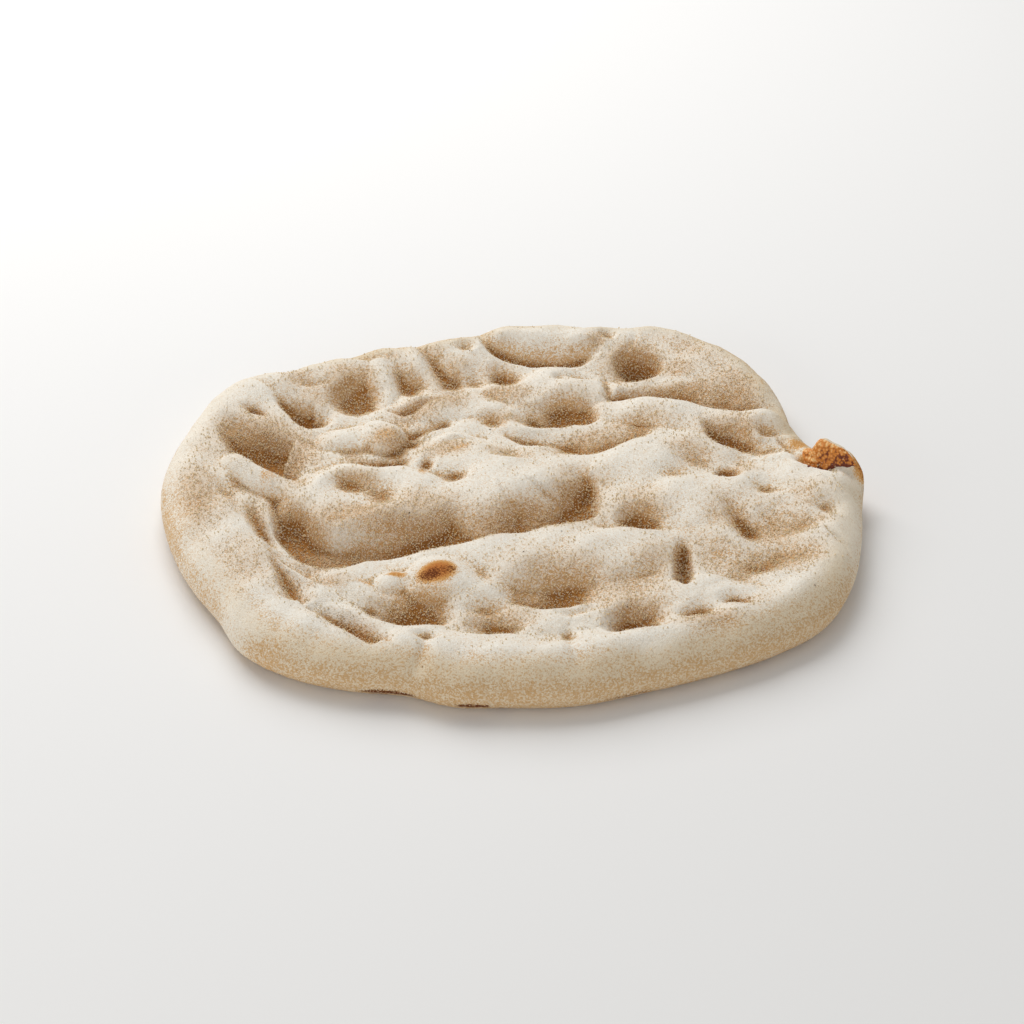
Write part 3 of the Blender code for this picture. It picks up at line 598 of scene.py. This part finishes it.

# Patches where the flour soaked in and the dough shows through, and painted shade in hollows and on front
# walls; strength as a share of full cover.
THIN_AND_SHADE = (
    (-104, 32, 24, 20, -38, 0.7),       # big press at the back left
    (-106, 24, 16, 8, -38, 0.9),
    (-87, -24, 12, 22, 28, 0.4),        # groove round the left mound
    (-56, -25, 36, 11, 0, 0.5),         # front wall of the left mound
    (-90, 0, 8, 10, 0, 0.3),
    (-32, -23, 20, 16, 0, 0.5),
    (12, -18, 32, 12, 12, 0.6),
    (27, -12, 8, 8, 0, 0.4),
    (12, -22, 10, 8, 0, 0.6),           # valley in front of the middle mound
    (30, -3, 13, 18, 0, 0.5),
    (-64, 6, 10, 5, -10, 0.5),          # dish in the left mound
    (-89, 58, 9, 10, -20, 0.25),
    (-70, 78, 13, 15, 0, 0.55),
    (-51, 33, 8, 8, 0, 0.6),            # front wall of the knob
    (-130, -50, 14, 22, 20, 0.25),
    (-92, 80, 10, 7, 30, 0.3),
    (-33, -76, 12, 9, 0, 0.5),
    (-76, -48, 12, 9, -30, 0.4),
    (-28, 88, 10, 10, 0, 0.4),
    (-45, 86, 9, 11, 20, 0.3),
    (-36, 105, 9, 8, -30, 0.35),
    (-58, 100, 12, 5, 0, 0.3),
    (-4, 91, 9, 10, 0, 0.35),
    (-34, 66, 18, 8, 25, 0.55),
    (-84, 70, 14, 8, 20, 0.3),
    (-3, 58, 10, 5, 0, 0.45),
    (-23, 97, 6, 5, 0, 0.35),
    (40, 110, 6, 5, 45, 0.4),
    (98, 15, 8, 5, 0, 0.35),
    (60, -49, 10, 12, 0, 0.35),
    (132, -22, 8, 5, 0, 0.4),
    (-83, -77, 8, 4, 20, 0.35),
    (-70, -63, 10, 4, 0, 0.35),
    (-120, -16, 12, 14, 0, 0.3),
    (-33, -41, 12, 3, 10, 0.5),         # foot of the mounds, along the valley's near side
    (-10, -35, 10, 4, 10, 0.5),
    (11, -28, 9, 4, 10, 0.5),
    (0, 76, 12, 7, 0, 0.45),
    (-26, 30, 12, 7, 10, 0.4),
    (-37, -13, 10, 9, 0, 0.35),
    (52, -97, 8, 4, 0, 0.5),
    (76, 93, 12, 6, -10, 0.4),
    (108, 58, 9, 6, -30, 0.45),
    (104, 42, 10, 5, -20, 0.4),
    (-36, 49, 10, 5, 20, 0.2),
    (25, 66, 20, 16, 0, 0.28),          # hollow behind the middle
    (57, 98, 13, 11, 0, 0.9),
    (16, 103, 30, 6, 0, 0.1),           # inner wall of the back rim
    (94, 44, 14, 12, -25, 0.45),
    (34, 40, 22, 9, 20, 0.4),
    (54, 48, 18, 10, 25, 0.35),
    (0, 28, 12, 6, 0, 0.25),
    (78, 30, 13, 10, -25, 0.3),
    (104, 76, 21, 12, -20, 0.5),
    (106, -30, 26, 30, 0, 0.2),
    (44, -66, 24, 14, 0, 0.3),
    (94, -82, 12, 5, 15, 0.2),
    (76, 79, 26, 6, -2, 0.5),
    (92, -18, 12, 16, 20, 0.3),
    (110, -26, 22, 14, 0, 0.35),        # hollow field behind the right rim
    (108, -48, 28, 14, 12, 0.35),
    (84, -42, 18, 16, 0, 0.25),
    (128, -6, 14, 14, -30, 0.25),
    (54, -14, 13, 14, -10, 0.45),
    (70, -49, 6, 16, 0, 0.4),
    (22, -62, 24, 16, -6, 0.4),
    (34, -66, 12, 14, 0, 0.2),
    (49, -82, 14, 13, 0, 0.45),
    (78, -94, 16, 6, 6, 0.45),
    (-39, -80, 18, 12, 0, 0.4),
    (-4, -86, 16, 11, 15, 0.4),
    (-62, -96, 17, 7, -38, 0.4),        # slot and dimple in the front-left rim
    (-90, -66, 8, 14, 12, 0.25),
    (-133, -18, 14, 28, 0, 0.6),
    (-103, -18, 6, 14, 15, 0.4),
    (-108, -60, 16, 26, -30, 0.25),
    (-103, 26, 14, 12, -38, 0.3),
    (-128, 24, 12, 10, -30, 0.2),
    (-50, 114, 46, 10, 8, 0.4),
    (90, 104, 26, 14, -20, 0.25),
    (124, -48, 14, 8, 20, 0.25),
)

# Drifts where flour lies thicker than the slope alone would let it, and a painted highlight on the pale lip
# under the burst blister, which lies in shade.
DRIFTS_AND_HIGHLIGHTS = (
    (-62, -33, 18, 6, 0, 0.7),          # bottom of the valley before the left mound
    (-106, -6, 4, 12, 20, 0.4),
    (-62, 27, 14, 4, -5, 0.5),          # before the knob
    (-88, 16, 8, 5, 30, 0.4),
    (-52, -87, 8, 4, -30, 0.5),
    (122, 76, 8, 16, -40, 0.4),         # back right side
    (141, -28, 13, 34, 0, 0.5),         # right edge
    (134, 8, 15, 9, -15, 0.9),          # pale lip under the burst blister: painted highlight
    (38, -90, 10, 7, 0, 0.4),           # crest of the front rim
    (-27, -70, 9, 4, 0, 0.5),           # below the burst bubble at the front
    (-70, -84, 14, 4, -38, 0.4),
    (-8, -96, 22, 5, 0, 0.3),
    (-62, -76, 8, 6, -38, 0.4),
    (30, -92, 12, 6, 0, 0.4),
    (24, 80, 16, 5, 0, 0.3),
    (84, 67, 18, 4.5, -5, 0.8),
    (52, -106, 14, 7, 5, 0.5),
    (66, 40, 16, 6, 10, 0.4),
    (-112, -92, 12, 10, -40, 0.4),
)

# How much of the dough the flour covers, as a share.
COVER = 0.84             # on a level top
SLOPE_LOSS = 0.55        # on a slope of about 65 degrees
PIT_LOSS_AND_SHADE = 0.8           # in a deep press: less flour, and painted shade
RIDGE_GAIN = 0.15        # on a narrow ridge
SWELL_GAIN = 0.3         # on a broad rise
LEFT_TOP_GAIN = 0.06     # at the left end, which got the most flour, and painted highlight where the light falls
LEFT_SIDE_GAIN = 0.32    # on its side: more flour, and painted highlight where the light falls
FRONT_PAINTED_SHADE = 0.35        # painted shade along the top of the front edge, which faces away from the light
TOAST_LOSS = 0.6         # where toasted, and where painted shade in toast colour lies
THIN_AND_SHADE_LOSS = 0.9          # where it soaked in, and painted shade
LEAST_COVER = 0.04
FOOT_HEIGHT = (9, 4)     # the baked foot fades in between these heights
STONE_HEIGHT = (4.6, 3.4)           # below these the dough has the colour of the underside


def colour_crust(obj, shift):
    """Stores where flour lies, and where the dough is hollow, toasted, charred or lay on the stone, with
    painted shade and highlight.

    Gives back how likely a loose grain is at each point.
    """
    mesh = obj.data
    ends = edge_ends(mesh)
    co = points(mesh)
    x, y = co[:, 0] / MM + shift[0], co[:, 1] / MM + shift[1]
    z = co[:, 2] / MM
    few, some, many, most = ROUNDS
    up = smoothed(normals(mesh), ends, few)
    slope = 1 - up[:, 2] / np.linalg.norm(up, axis=1)
    # heights averaged over wider and wider surroundings
    near = smoothed(z, ends, some)
    broad = smoothed(near, ends, many - some)
    wide = smoothed(broad, ends, most - many)
    inside = periodic(OUTLINE, np.degrees(np.arctan2(y, x))) - np.hypot(x, y)
    on_top = step(3, 14, inside) * step(-0.3, 0.1, up[:, 2])
    pit = 0.3 * step(0.1, 1.2, near - z) + 0.5 * step(0.0, 2.5, broad - z) + 0.5 * step(0.0, 5.0, wide - z)
    ridge = step(0.1, 1.2, z - near) * on_top
    swell = step(0.0, 2.0, z - broad) * on_top
    # the left end: more flour there, and painted highlight where the light falls on it
    left = step(-60, -140, x)
    # painted shade: less flour on the top along the front edge
    front = step(-50, -100, y) * step(18, 8, inside) * on_top
    thin, drift, blush = spots(x, y, THIN_AND_SHADE), spots(x, y, DRIFTS_AND_HIGHLIGHTS), spots(x, y, TOAST_AND_SHADE)
    # less flour on slopes and in hollows; the loss in hollows is partly painted shade
    flour = COVER - SLOPE_LOSS * step(0.0, 0.6, slope) - PIT_LOSS_AND_SHADE * pit * on_top
    flour += RIDGE_GAIN * ridge + SWELL_GAIN * swell
    flour += LEFT_TOP_GAIN * left + LEFT_SIDE_GAIN * (1 - on_top) * left
    flour -= FRONT_PAINTED_SHADE * front
    # the thin patches show dough where flour soaked in, and are partly painted shade
    flour += drift - TOAST_LOSS * blush - THIN_AND_SHADE_LOSS * thin
    paint(mesh, "flour", np.clip(flour, LEAST_COVER, 1.0))
    # browner dough in hollows and thin patches: partly painted shade
    paint(mesh, "deep", (step(0.35, 1.2, pit) + 0.75 * thin) * on_top * (1 - drift))
    foot = spots(x, y, FOOT) * step(*FOOT_HEIGHT, z)
    toasted = np.maximum(blush, 0.6 * foot)
    paint(mesh, "blush", toasted)
    paint(mesh, "char", np.maximum(spots(x, y, CHAR), 0.85 * step(0.2, 0.8, foot)))
    paint(mesh, "under", step(*STONE_HEIGHT, z))
    # the tan side is mostly left out at the left end: a painted highlight
    paint(mesh, "side", step(16, 5, inside) * (1 - 0.85 * left) * (1 - drift))
    # loose grains gather in the hollows, but for the deepest, and on the slopes where flour is thin
    bare = 1 - 0.6 * step(0.6, 1.5, pit + thin)
    return (0.05 + 1.1 * pit + 1.3 * thin) * bare * on_top ** 2 * (1 - step(0.3, 0.7, toasted))


# ---------------------------------------------------------------- burst blister and loose grains

def surface_of(obj):
    """A function that gives the height of a piece's surface at any plan position, all in metres."""
    corners = [v.co[:] for v in obj.data.vertices]
    tree = BVHTree.FromPolygons(corners, [p.vertices[:] for p in obj.data.polygons])

    def drop(x, y):
        """Height of the surface straight below a place 1 m up."""
        return tree.ray_cast(Vector((x, y, 1.0)), Vector((0, 0, -1)))[0].z
    return drop


def blister_piece(drop, shift):
    """The browned skin of the burst bubble, thin, torn along its upper edge, lying on the raised wall."""
    line = smooth_line(FLAP, LINE_STEPS)
    along, across = SKIN_GRID
    bpy.ops.object.select_all(action="DESELECT")
    bpy.ops.mesh.primitive_grid_add(x_subdivisions=along, y_subdivisions=across, size=2, location=(0, 0, 0))
    obj = bpy.context.object
    obj.name = "burst_blister"
    grid = points(obj.data)
    u, v = (grid[:, 0] + 1) / 2, (grid[:, 1] + 1) / 2
    place = u * SKIN[-1][0]
    at = place * (len(line) - 1)
    k = np.minimum(at.astype(int), len(line) - 2)
    f = (at - k)[:, None]
    foot = line[k] * (1 - f) + line[k + 1] * f
    way = line[k + 1, :2] - line[k, :2]
    way /= np.linalg.norm(way, axis=1)[:, None]
    inward = np.stack([way[:, 1], -way[:, 0]], 1)
    half = foot[:, 3]
    # from the crest of the wall (v = 1) down its inner face to the seam with the pale lip (v = 0)
    reach = np.interp(place, [s[0] for s in SKIN], [s[1] for s in SKIN])
    ragged = np.array([noise.noise(Vector((a * RAGGED_STEP, 7.7, 1.1))) for a in u])
    reach = np.maximum(reach * (1 + RAGGED * ragged), 0.3 * half)
    off = SKIN_TOP * half + (reach - SKIN_TOP * half) * (1 - v) ** SKIN_SLACK
    plan = foot[:, :2] + inward * off[:, None]
    out = np.empty((len(u), 3))
    for i, (x, y) in enumerate((plan - shift[:2]) * MM):
        out[i] = (x, y, drop(x, y))
    coarse, fine = TORN_STEPS
    jag = np.array([noise.noise(Vector((a * coarse, 3.1, 0.4)))
                    + 0.6 * noise.noise(Vector((a * fine, 1.7, 2.2))) for a in u])
    large, small = BLISTER_SIZES
    bubble = np.array([noise.noise(Vector(p) / (large * MM))
                       + 0.5 * noise.noise(Vector(p) / (small * MM)) for p in out])
    lift = SKIN_LIFT * step(0.0, 0.12, v) * step(0.0, 0.05, u) * step(1.0, 0.95, u) - SKIN_SINK
    edge = step(0.86, 1.0, v) * TORN * jag
    blow = BLISTER * bubble * step(0.0, 0.15, v) * step(1.0, 0.9, v)
    out[:, 2] += (0.8 * lift + edge) * MM
    out[:, :2] += inward * ((0.6 * lift + blow) * MM)[:, None]
    set_points(obj.data, out)
    # darkest along the seam, and in a band across the right half
    paint(obj.data, "burn", 0.6 * step(0.25, 0.0, v) * step(0.1, 0.3, u) + 0.15 * step(0.6, 1.0, u)
          + 0.2 * step(0.85, 0.5, v) * step(0.3, 0.6, u))
    only(obj)
    thick = obj.modifiers.new("thickness", "SOLIDIFY")
    thick.thickness = SKIN_THICK * MM
    thick.offset = -1.0
    bpy.ops.object.modifier_apply(modifier="thickness")
    bpy.ops.object.mode_set(mode="EDIT")
    bpy.ops.mesh.select_all(action="SELECT")
    bpy.ops.mesh.normals_make_consistent(inside=False)
    bpy.ops.object.mode_set(mode="OBJECT")
    bpy.ops.object.shade_smooth()
    return obj


# Faces of a grain whose tips are left, right, front, back, top and bottom.
GRAIN_FACES = np.array([(0, 2, 4), (2, 1, 4), (1, 3, 4), (3, 0, 4),
                        (2, 0, 5), (1, 2, 5), (3, 1, 5), (0, 3, 5)])
GRAIN_DEPTH = 0.8        # front to back of a grain, as a share of its width
TIP_SPREAD = (0.7, 1.15)            # how unevenly its tips stick out


def per_face(mesh, what, kind, width):
    """A value that a mesh keeps for each face."""
    out = np.empty(len(mesh.polygons) * width, kind)
    mesh.polygons.foreach_get(what, out)
    return out.reshape(-1, width) if width > 1 else out


def scatter_piece(name, crust, chance, count, smallest, largest, sink, flat=1.0):
    """Loose grains on the crust: irregular eight-sided grains, seeded, more of them where chance is high."""
    mesh = crust.data
    facing = per_face(mesh, "normal", np.float32, 3).astype(float)
    corners = per_face(mesh, "vertices", np.int32, 3)
    weight = per_face(mesh, "area", np.float32, 1) * chance[corners].mean(1)
    rng = np.random.default_rng(len(name) * 101)
    pick = rng.choice(len(weight), count, p=weight / weight.sum())
    tri = points(mesh)[corners[pick]]
    share = rng.dirichlet((1, 1, 1), count)
    spot = (tri * share[:, :, None]).sum(1)
    up = facing[pick]
    size = rng.uniform(smallest, largest, count) * MM / 2
    side = np.cross(up, rng.normal(size=(count, 3)))
    side /= np.linalg.norm(side, axis=1)[:, None]
    front = np.cross(up, side)
    centre = spot + up * (size * (flat - sink))[:, None]
    axes = ((side, 1.0), (-side, 1.0), (front, GRAIN_DEPTH), (-front, GRAIN_DEPTH), (up, flat), (-up, flat))
    tips = [centre + a * (size * r * rng.uniform(*TIP_SPREAD, count))[:, None] for a, r in axes]
    co = np.stack(tips, 1).reshape(-1, 3)
    # the faces run the other way round where the grain's own axes are left-handed
    turned = (np.cross(side, front) * up).sum(1) < 0
    both = np.where(turned[:, None, None], GRAIN_FACES[:, ::-1][None], GRAIN_FACES[None])
    index = (both + 6 * np.arange(count)[:, None, None]).reshape(-1, 3)
    grains = bpy.data.meshes.new(name)
    grains.from_pydata(co.tolist(), [], index.tolist())
    grains.update()
    obj = bpy.data.objects.new(name, grains)
    bpy.context.scene.collection.objects.link(obj)
    return obj


# ---------------------------------------------------------------- materials

def linear(hex_colour):
    """An sRGB hex colour as linear red, green, blue and alpha."""
    out = []
    for k in (0, 2, 4):
        c = int(hex_colour[k:k + 2], 16) / 255
        out.append(c / 12.92 if c <= 0.04045 else ((c + 0.055) / 1.055) ** 2.4)
    return (*out, 1.0)


def add(tree, kind, settings=None, **inputs):
    """Adds a node: settings are its own properties, inputs are values or (node, socket) links."""
    node = tree.nodes.new(kind)
    for key, value in (settings or {}).items():
        setattr(node, key, value)
    for key, value in inputs.items():
        numbered = key[0] == "i" and key[1:].isdigit()
        socket = node.inputs[int(key[1:]) if numbered else key.replace("_", " ")]
        if isinstance(value, tuple) and len(value) == 2 and isinstance(value[0], bpy.types.Node):
            tree.links.new(value[0].outputs[value[1]], socket)
        else:
            socket.default_value = value
    return node


def new_material(name):
    """A material, its nodes and its shader."""
    mat = bpy.data.materials.new(name)
    mat.use_nodes = True
    tree = mat.node_tree
    shader = tree.nodes["Principled BSDF"]
    return mat, tree, shader


def blend_colour(tree, share, low, high):
    """One colour turning into another as a share goes from 0 to 1."""
    return add(tree, "ShaderNodeMix", {"data_type": "RGBA"}, i0=share, i6=low, i7=high), 2


def smooth_range(tree, value, low, high, **more):
    """A share that goes smoothly from 0 to 1 as a value goes from low to high."""
    settings = {"interpolation_type": "SMOOTHSTEP"}
    return add(tree, "ShaderNodeMapRange", settings, Value=value, From_Min=low, From_Max=high, **more), 0


def times_plus(tree, value, factor, plus):
    """value x factor + plus."""
    return add(tree, "ShaderNodeMath", {"operation": "MULTIPLY_ADD"}, i0=value, i1=factor, i2=plus), 0


def noise_of(tree, place, width, detail, roughness):
    """A cloudy pattern whose spots are about this many millimetres wide."""
    return add(tree, "ShaderNodeTexNoise", Vector=place, Scale=1 / (width * MM), Detail=detail,
               Roughness=roughness), "Fac"


def crust_material():
    """Par-baked wheat dough under a dusting of flour.

    Baked without colour, dusted by hand: it gives a matt, pale ochre skin with a fine white speckle that is
    thick on level tops, thin on slopes and worn through to brown dough in the presses, which also carry
    painted shade.
    """
    mat, tree, shader = new_material("par-baked wheat crust")
    place = add(tree, "ShaderNodeTexCoord"), "Object"
    flour, deep, blush, char, under, side = (
        (add(tree, "ShaderNodeAttribute", {"attribute_name": name}), "Fac")
        for name in ("flour", "deep", "blush", "char", "under", "side"))
    # bare dough, in patches the width of a finger, browner in the presses as partly painted shade, and tan
    # on the side
    patch = noise_of(tree, place, 17, 4.0, 0.6)
    dough = blend_colour(tree, patch, linear("CE9D64"), linear("E2C08F"))
    dough = blend_colour(tree, deep, dough, linear("A26E38"))
    dough = blend_colour(tree, side, dough, linear("CEA878"))
    # flour: clumps of grains 0.55 mm wide, the finest that show, gathered in drifts, laid under the cover
    clump = add(tree, "ShaderNodeTexVoronoi", {"feature": "F1"}, Vector=place, Scale=1 / (0.55 * MM))
    chance = add(tree, "ShaderNodeSeparateColor", Color=(clump, "Color"))
    speck = noise_of(tree, place, 0.6, 1.0, 0.6)
    drift = noise_of(tree, place, 6, 3.0, 0.6)
    need = times_plus(tree, (chance, "Red"), 0.9, -0.7)
    need = times_plus(tree, drift, 0.4, need)
    need = times_plus(tree, speck, 1.0, need)
    gap = add(tree, "ShaderNodeMath", {"operation": "SUBTRACT"}, i0=flour, i1=need), 0
    dusted = smooth_range(tree, gap, -0.47, 0.37)
    white = blend_colour(tree, (chance, "Green"), linear("EEE4D3"), linear("F9F4E9"))
    # flour in the hollows tinted brown: partly painted shade
    white = blend_colour(tree, deep, white, linear("D0A05E"))
    white = blend_colour(tree, side, white, linear("E4D3B6"))
    colour = blend_colour(tree, dusted, dough, white)
    # toasted patches, some of them painted shade on front walls, with a ragged edge, charred in small
    # clusters
    ragged = times_plus(tree, speck, 0.7, blush)
    toast = smooth_range(tree, ragged, 0.62, 0.95)
    burnt = smooth_range(tree, times_plus(tree, speck, 1.6, char), 1.12, 1.65)
    strong = smooth_range(tree, ragged, 0.75, 1.35)
    amber = blend_colour(tree, strong, linear("DCA965"), linear("BC7233"))
    colour = blend_colour(tree, toast, colour, amber)
    colour = blend_colour(tree, burnt, colour, linear("64300F"))
    # underside: browned in spots where it lay on the hot stone, and dusted
    stone = noise_of(tree, place, 11, 5.0, 0.65)
    base = blend_colour(tree, smooth_range(tree, stone, 0.42, 0.78), linear("CFA873"), linear("7E4A28"))
    powder = smooth_range(tree, need, 0.25, 0.75, To_Min=0.6, To_Max=0.0)
    base = blend_colour(tree, powder, base, linear("E6D6BA"))
    colour = blend_colour(tree, under, colour, base)
    tree.links.new(colour[0].outputs[colour[1]], shader.inputs["Base Color"])
    shader.inputs["Roughness"].default_value = 0.92
    shader.inputs["Specular IOR Level"].default_value = 0.2
    # grit of the flour clumps
    rough = noise_of(tree, place, 0.8, 2.0, 0.6)
    height = add(tree, "ShaderNodeMath", {"operation": "SUBTRACT"}, i0=rough, i1=(clump, "Distance"))
    bump = add(tree, "ShaderNodeBump", Strength=0.7, Distance=0.3 * MM, Height=(height, 0))
    tree.links.new(bump.outputs["Normal"], shader.inputs["Normal"])
    return mat


def blister_material():
    """Skin of a burst bubble, toasted by the oven's top heat.

    It gives a slightly shiny amber to red-brown in small blisters about 1.2 mm wide, darkest along the seam.
    """
    mat, tree, shader = new_material("toasted dough skin")
    place = add(tree, "ShaderNodeTexCoord"), "Object"
    burn = add(tree, "ShaderNodeAttribute", {"attribute_name": "burn"}), "Fac"
    cell = add(tree, "ShaderNodeTexVoronoi", {"feature": "F1"}, Vector=place, Scale=1 / (1.2 * MM))
    mixed = times_plus(tree, (cell, "Distance"), 0.7, noise_of(tree, place, 2.2, 4.0, 0.75))
    shade = add(tree, "ShaderNodeMath", {"operation": "ADD"}, i0=mixed, i1=burn), 0
    colour = blend_colour(tree, smooth_range(tree, shade, 0.6, 0.95), linear("F8CE8E"), linear("DC8A36"))
    colour = blend_colour(tree, smooth_range(tree, shade, 0.95, 1.35), colour, linear("6E2F16"))
    tree.links.new(colour[0].outputs[colour[1]], shader.inputs["Base Color"])
    shader.inputs["Roughness"].default_value = 0.55
    shader.inputs["Specular IOR Level"].default_value = 0.4
    bump = add(tree, "ShaderNodeBump", Strength=0.5, Distance=0.4 * MM, Height=mixed)
    tree.links.new(bump.outputs["Normal"], shader.inputs["Normal"])
    return mat


def grain_material(name, colour, other):
    """Ground grain, dry and broken: matt, each grain a little different in colour from the next."""
    mat, tree, shader = new_material(name)
    place = add(tree, "ShaderNodeTexCoord"), "Object"
    mixed = blend_colour(tree, noise_of(tree, place, 1.5, 1.0, 0.5), linear(colour), linear(other))
    tree.links.new(mixed[0].outputs[mixed[1]], shader.inputs["Base Color"])
    shader.inputs["Roughness"].default_value = 0.8
    shader.inputs["Specular IOR Level"].default_value = 0.3
    return mat


def floor_material():
    """Painted board, sanded smooth: an even, matt, slightly warm white."""
    mat, _, shader = new_material("matt white board")
    shader.inputs["Base Color"].default_value = linear("F4F3F1")
    shader.inputs["Roughness"].default_value = 0.8
    return mat


# ---------------------------------------------------------------- build

CRUMB = (2.2, 0.5, 3)    # fine unevenness of the dough: width, height, finer layers
FLOUR_COUNT = 24000
SEMOLINA_COUNT = 20000
BRAN_COUNT = 26
SEMOLINA_GATHERS = 1.3   # over 1: coarse grains keep more to the places with much loose flour
BRAN_FLAT = 0.3
FLOOR_SIZE = 6           # metres
FLOOR_GAP = 0.2          # the floor lies this far under the base, so that two faces never share a plane

crust, SHIFT = crust_piece()
loose = colour_crust(crust, SHIFT)
clouds(crust, "crumb", *CRUMB)
# the unevenness stays above the flat base
made = points(crust.data)
made[:, 2] = np.maximum(made[:, 2], 0)
set_points(crust.data, made)
only(crust)
bpy.ops.object.shade_smooth()
crust.data.materials.append(crust_material())
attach(crust, "root")
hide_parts(NODE)

blister = blister_piece(surface_of(crust), SHIFT)
blister.data.materials.append(blister_material())
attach(blister, "root")

share = 1.0
flour = scatter_piece("flour_grains", crust, loose, int(FLOUR_COUNT * share), 0.35, 0.65, 0.35)
flour.data.materials.append(grain_material("rice flour", "F4EEE2", "EADFCC"))
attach(flour, "root")
gathered = loose ** SEMOLINA_GATHERS
semolina = scatter_piece("semolina_grains", crust, gathered, int(SEMOLINA_COUNT * share), 0.6, 1.0, 0.3)
semolina.data.materials.append(grain_material("semolina", "ECDBBB", "E0C799"))
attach(semolina, "root")
anywhere = (loose > 0).astype(float)
bran = scatter_piece("bran_flakes", crust, anywhere, BRAN_COUNT, 0.7, 1.1, 0.1, BRAN_FLAT)
bran.data.materials.append(grain_material("wheat bran", "4A3626", "7A5A3C"))
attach(bran, "root")

# ---------------------------------------------------------------- floor, light, camera

bpy.ops.object.select_all(action="DESELECT")
bpy.ops.mesh.primitive_plane_add(size=FLOOR_SIZE, location=(0, 0, -FLOOR_GAP * MM))
floor = bpy.context.object
floor.name = "floor"
floor.data.materials.append(floor_material())


def softbox(name, place, size, power):
    """A soft rectangular light facing the middle of the table: place and size in metres, power in watts."""
    light = bpy.data.lights.new(name, "AREA")
    light.shape = "RECTANGLE"
    light.size, light.size_y = size
    light.energy = power
    obj = bpy.data.objects.new(name, light)
    bpy.context.scene.collection.objects.link(obj)
    obj.location = place
    obj.rotation_euler = (-Vector(place)).to_track_quat("-Z", "Y").to_euler()


# a large key light from behind on the left, and two weaker ones low in front
softbox("key", (-0.4, 0.85, 1.05), (1.2, 1.2), 16.6)
softbox("fill", (-0.9, -0.9, 0.4), (1.4, 0.6), 4.3)
softbox("front", (1.0, -1.1, 0.35), (1.4, 0.6), 2.7)

# even white surroundings
WORLD_STRENGTH = 0.33
world = bpy.data.worlds.new("studio")
bpy.context.scene.world = world
world.use_nodes = True
world.node_tree.nodes["Background"].inputs["Color"].default_value = (1, 1, 1, 1)
world.node_tree.nodes["Background"].inputs["Strength"].default_value = WORLD_STRENGTH
bpy.context.scene.view_settings.view_transform = "Standard"

ELEVATION = math.radians(35)    # above the table, on the front side
DISTANCE = 0.999                # metres from the target
TARGET = Vector((-0.0004, -0.0143, 0.011))
LENS = 85                       # millimetres
SENSOR = 36
LENS_SHIFT = (0.0009765625, 0.005859375)
back = Vector((0, -math.cos(ELEVATION), math.sin(ELEVATION)))
lens = bpy.data.cameras.new("camera")
lens.lens = LENS
lens.sensor_width = SENSOR
lens.shift_x, lens.shift_y = LENS_SHIFT
camera = bpy.data.objects.new("camera", lens)
bpy.context.scene.collection.objects.link(camera)
camera.location = TARGET + back * DISTANCE
camera.rotation_euler = (-back).to_track_quat("-Z", "Y").to_euler()
bpy.context.scene.camera = camera
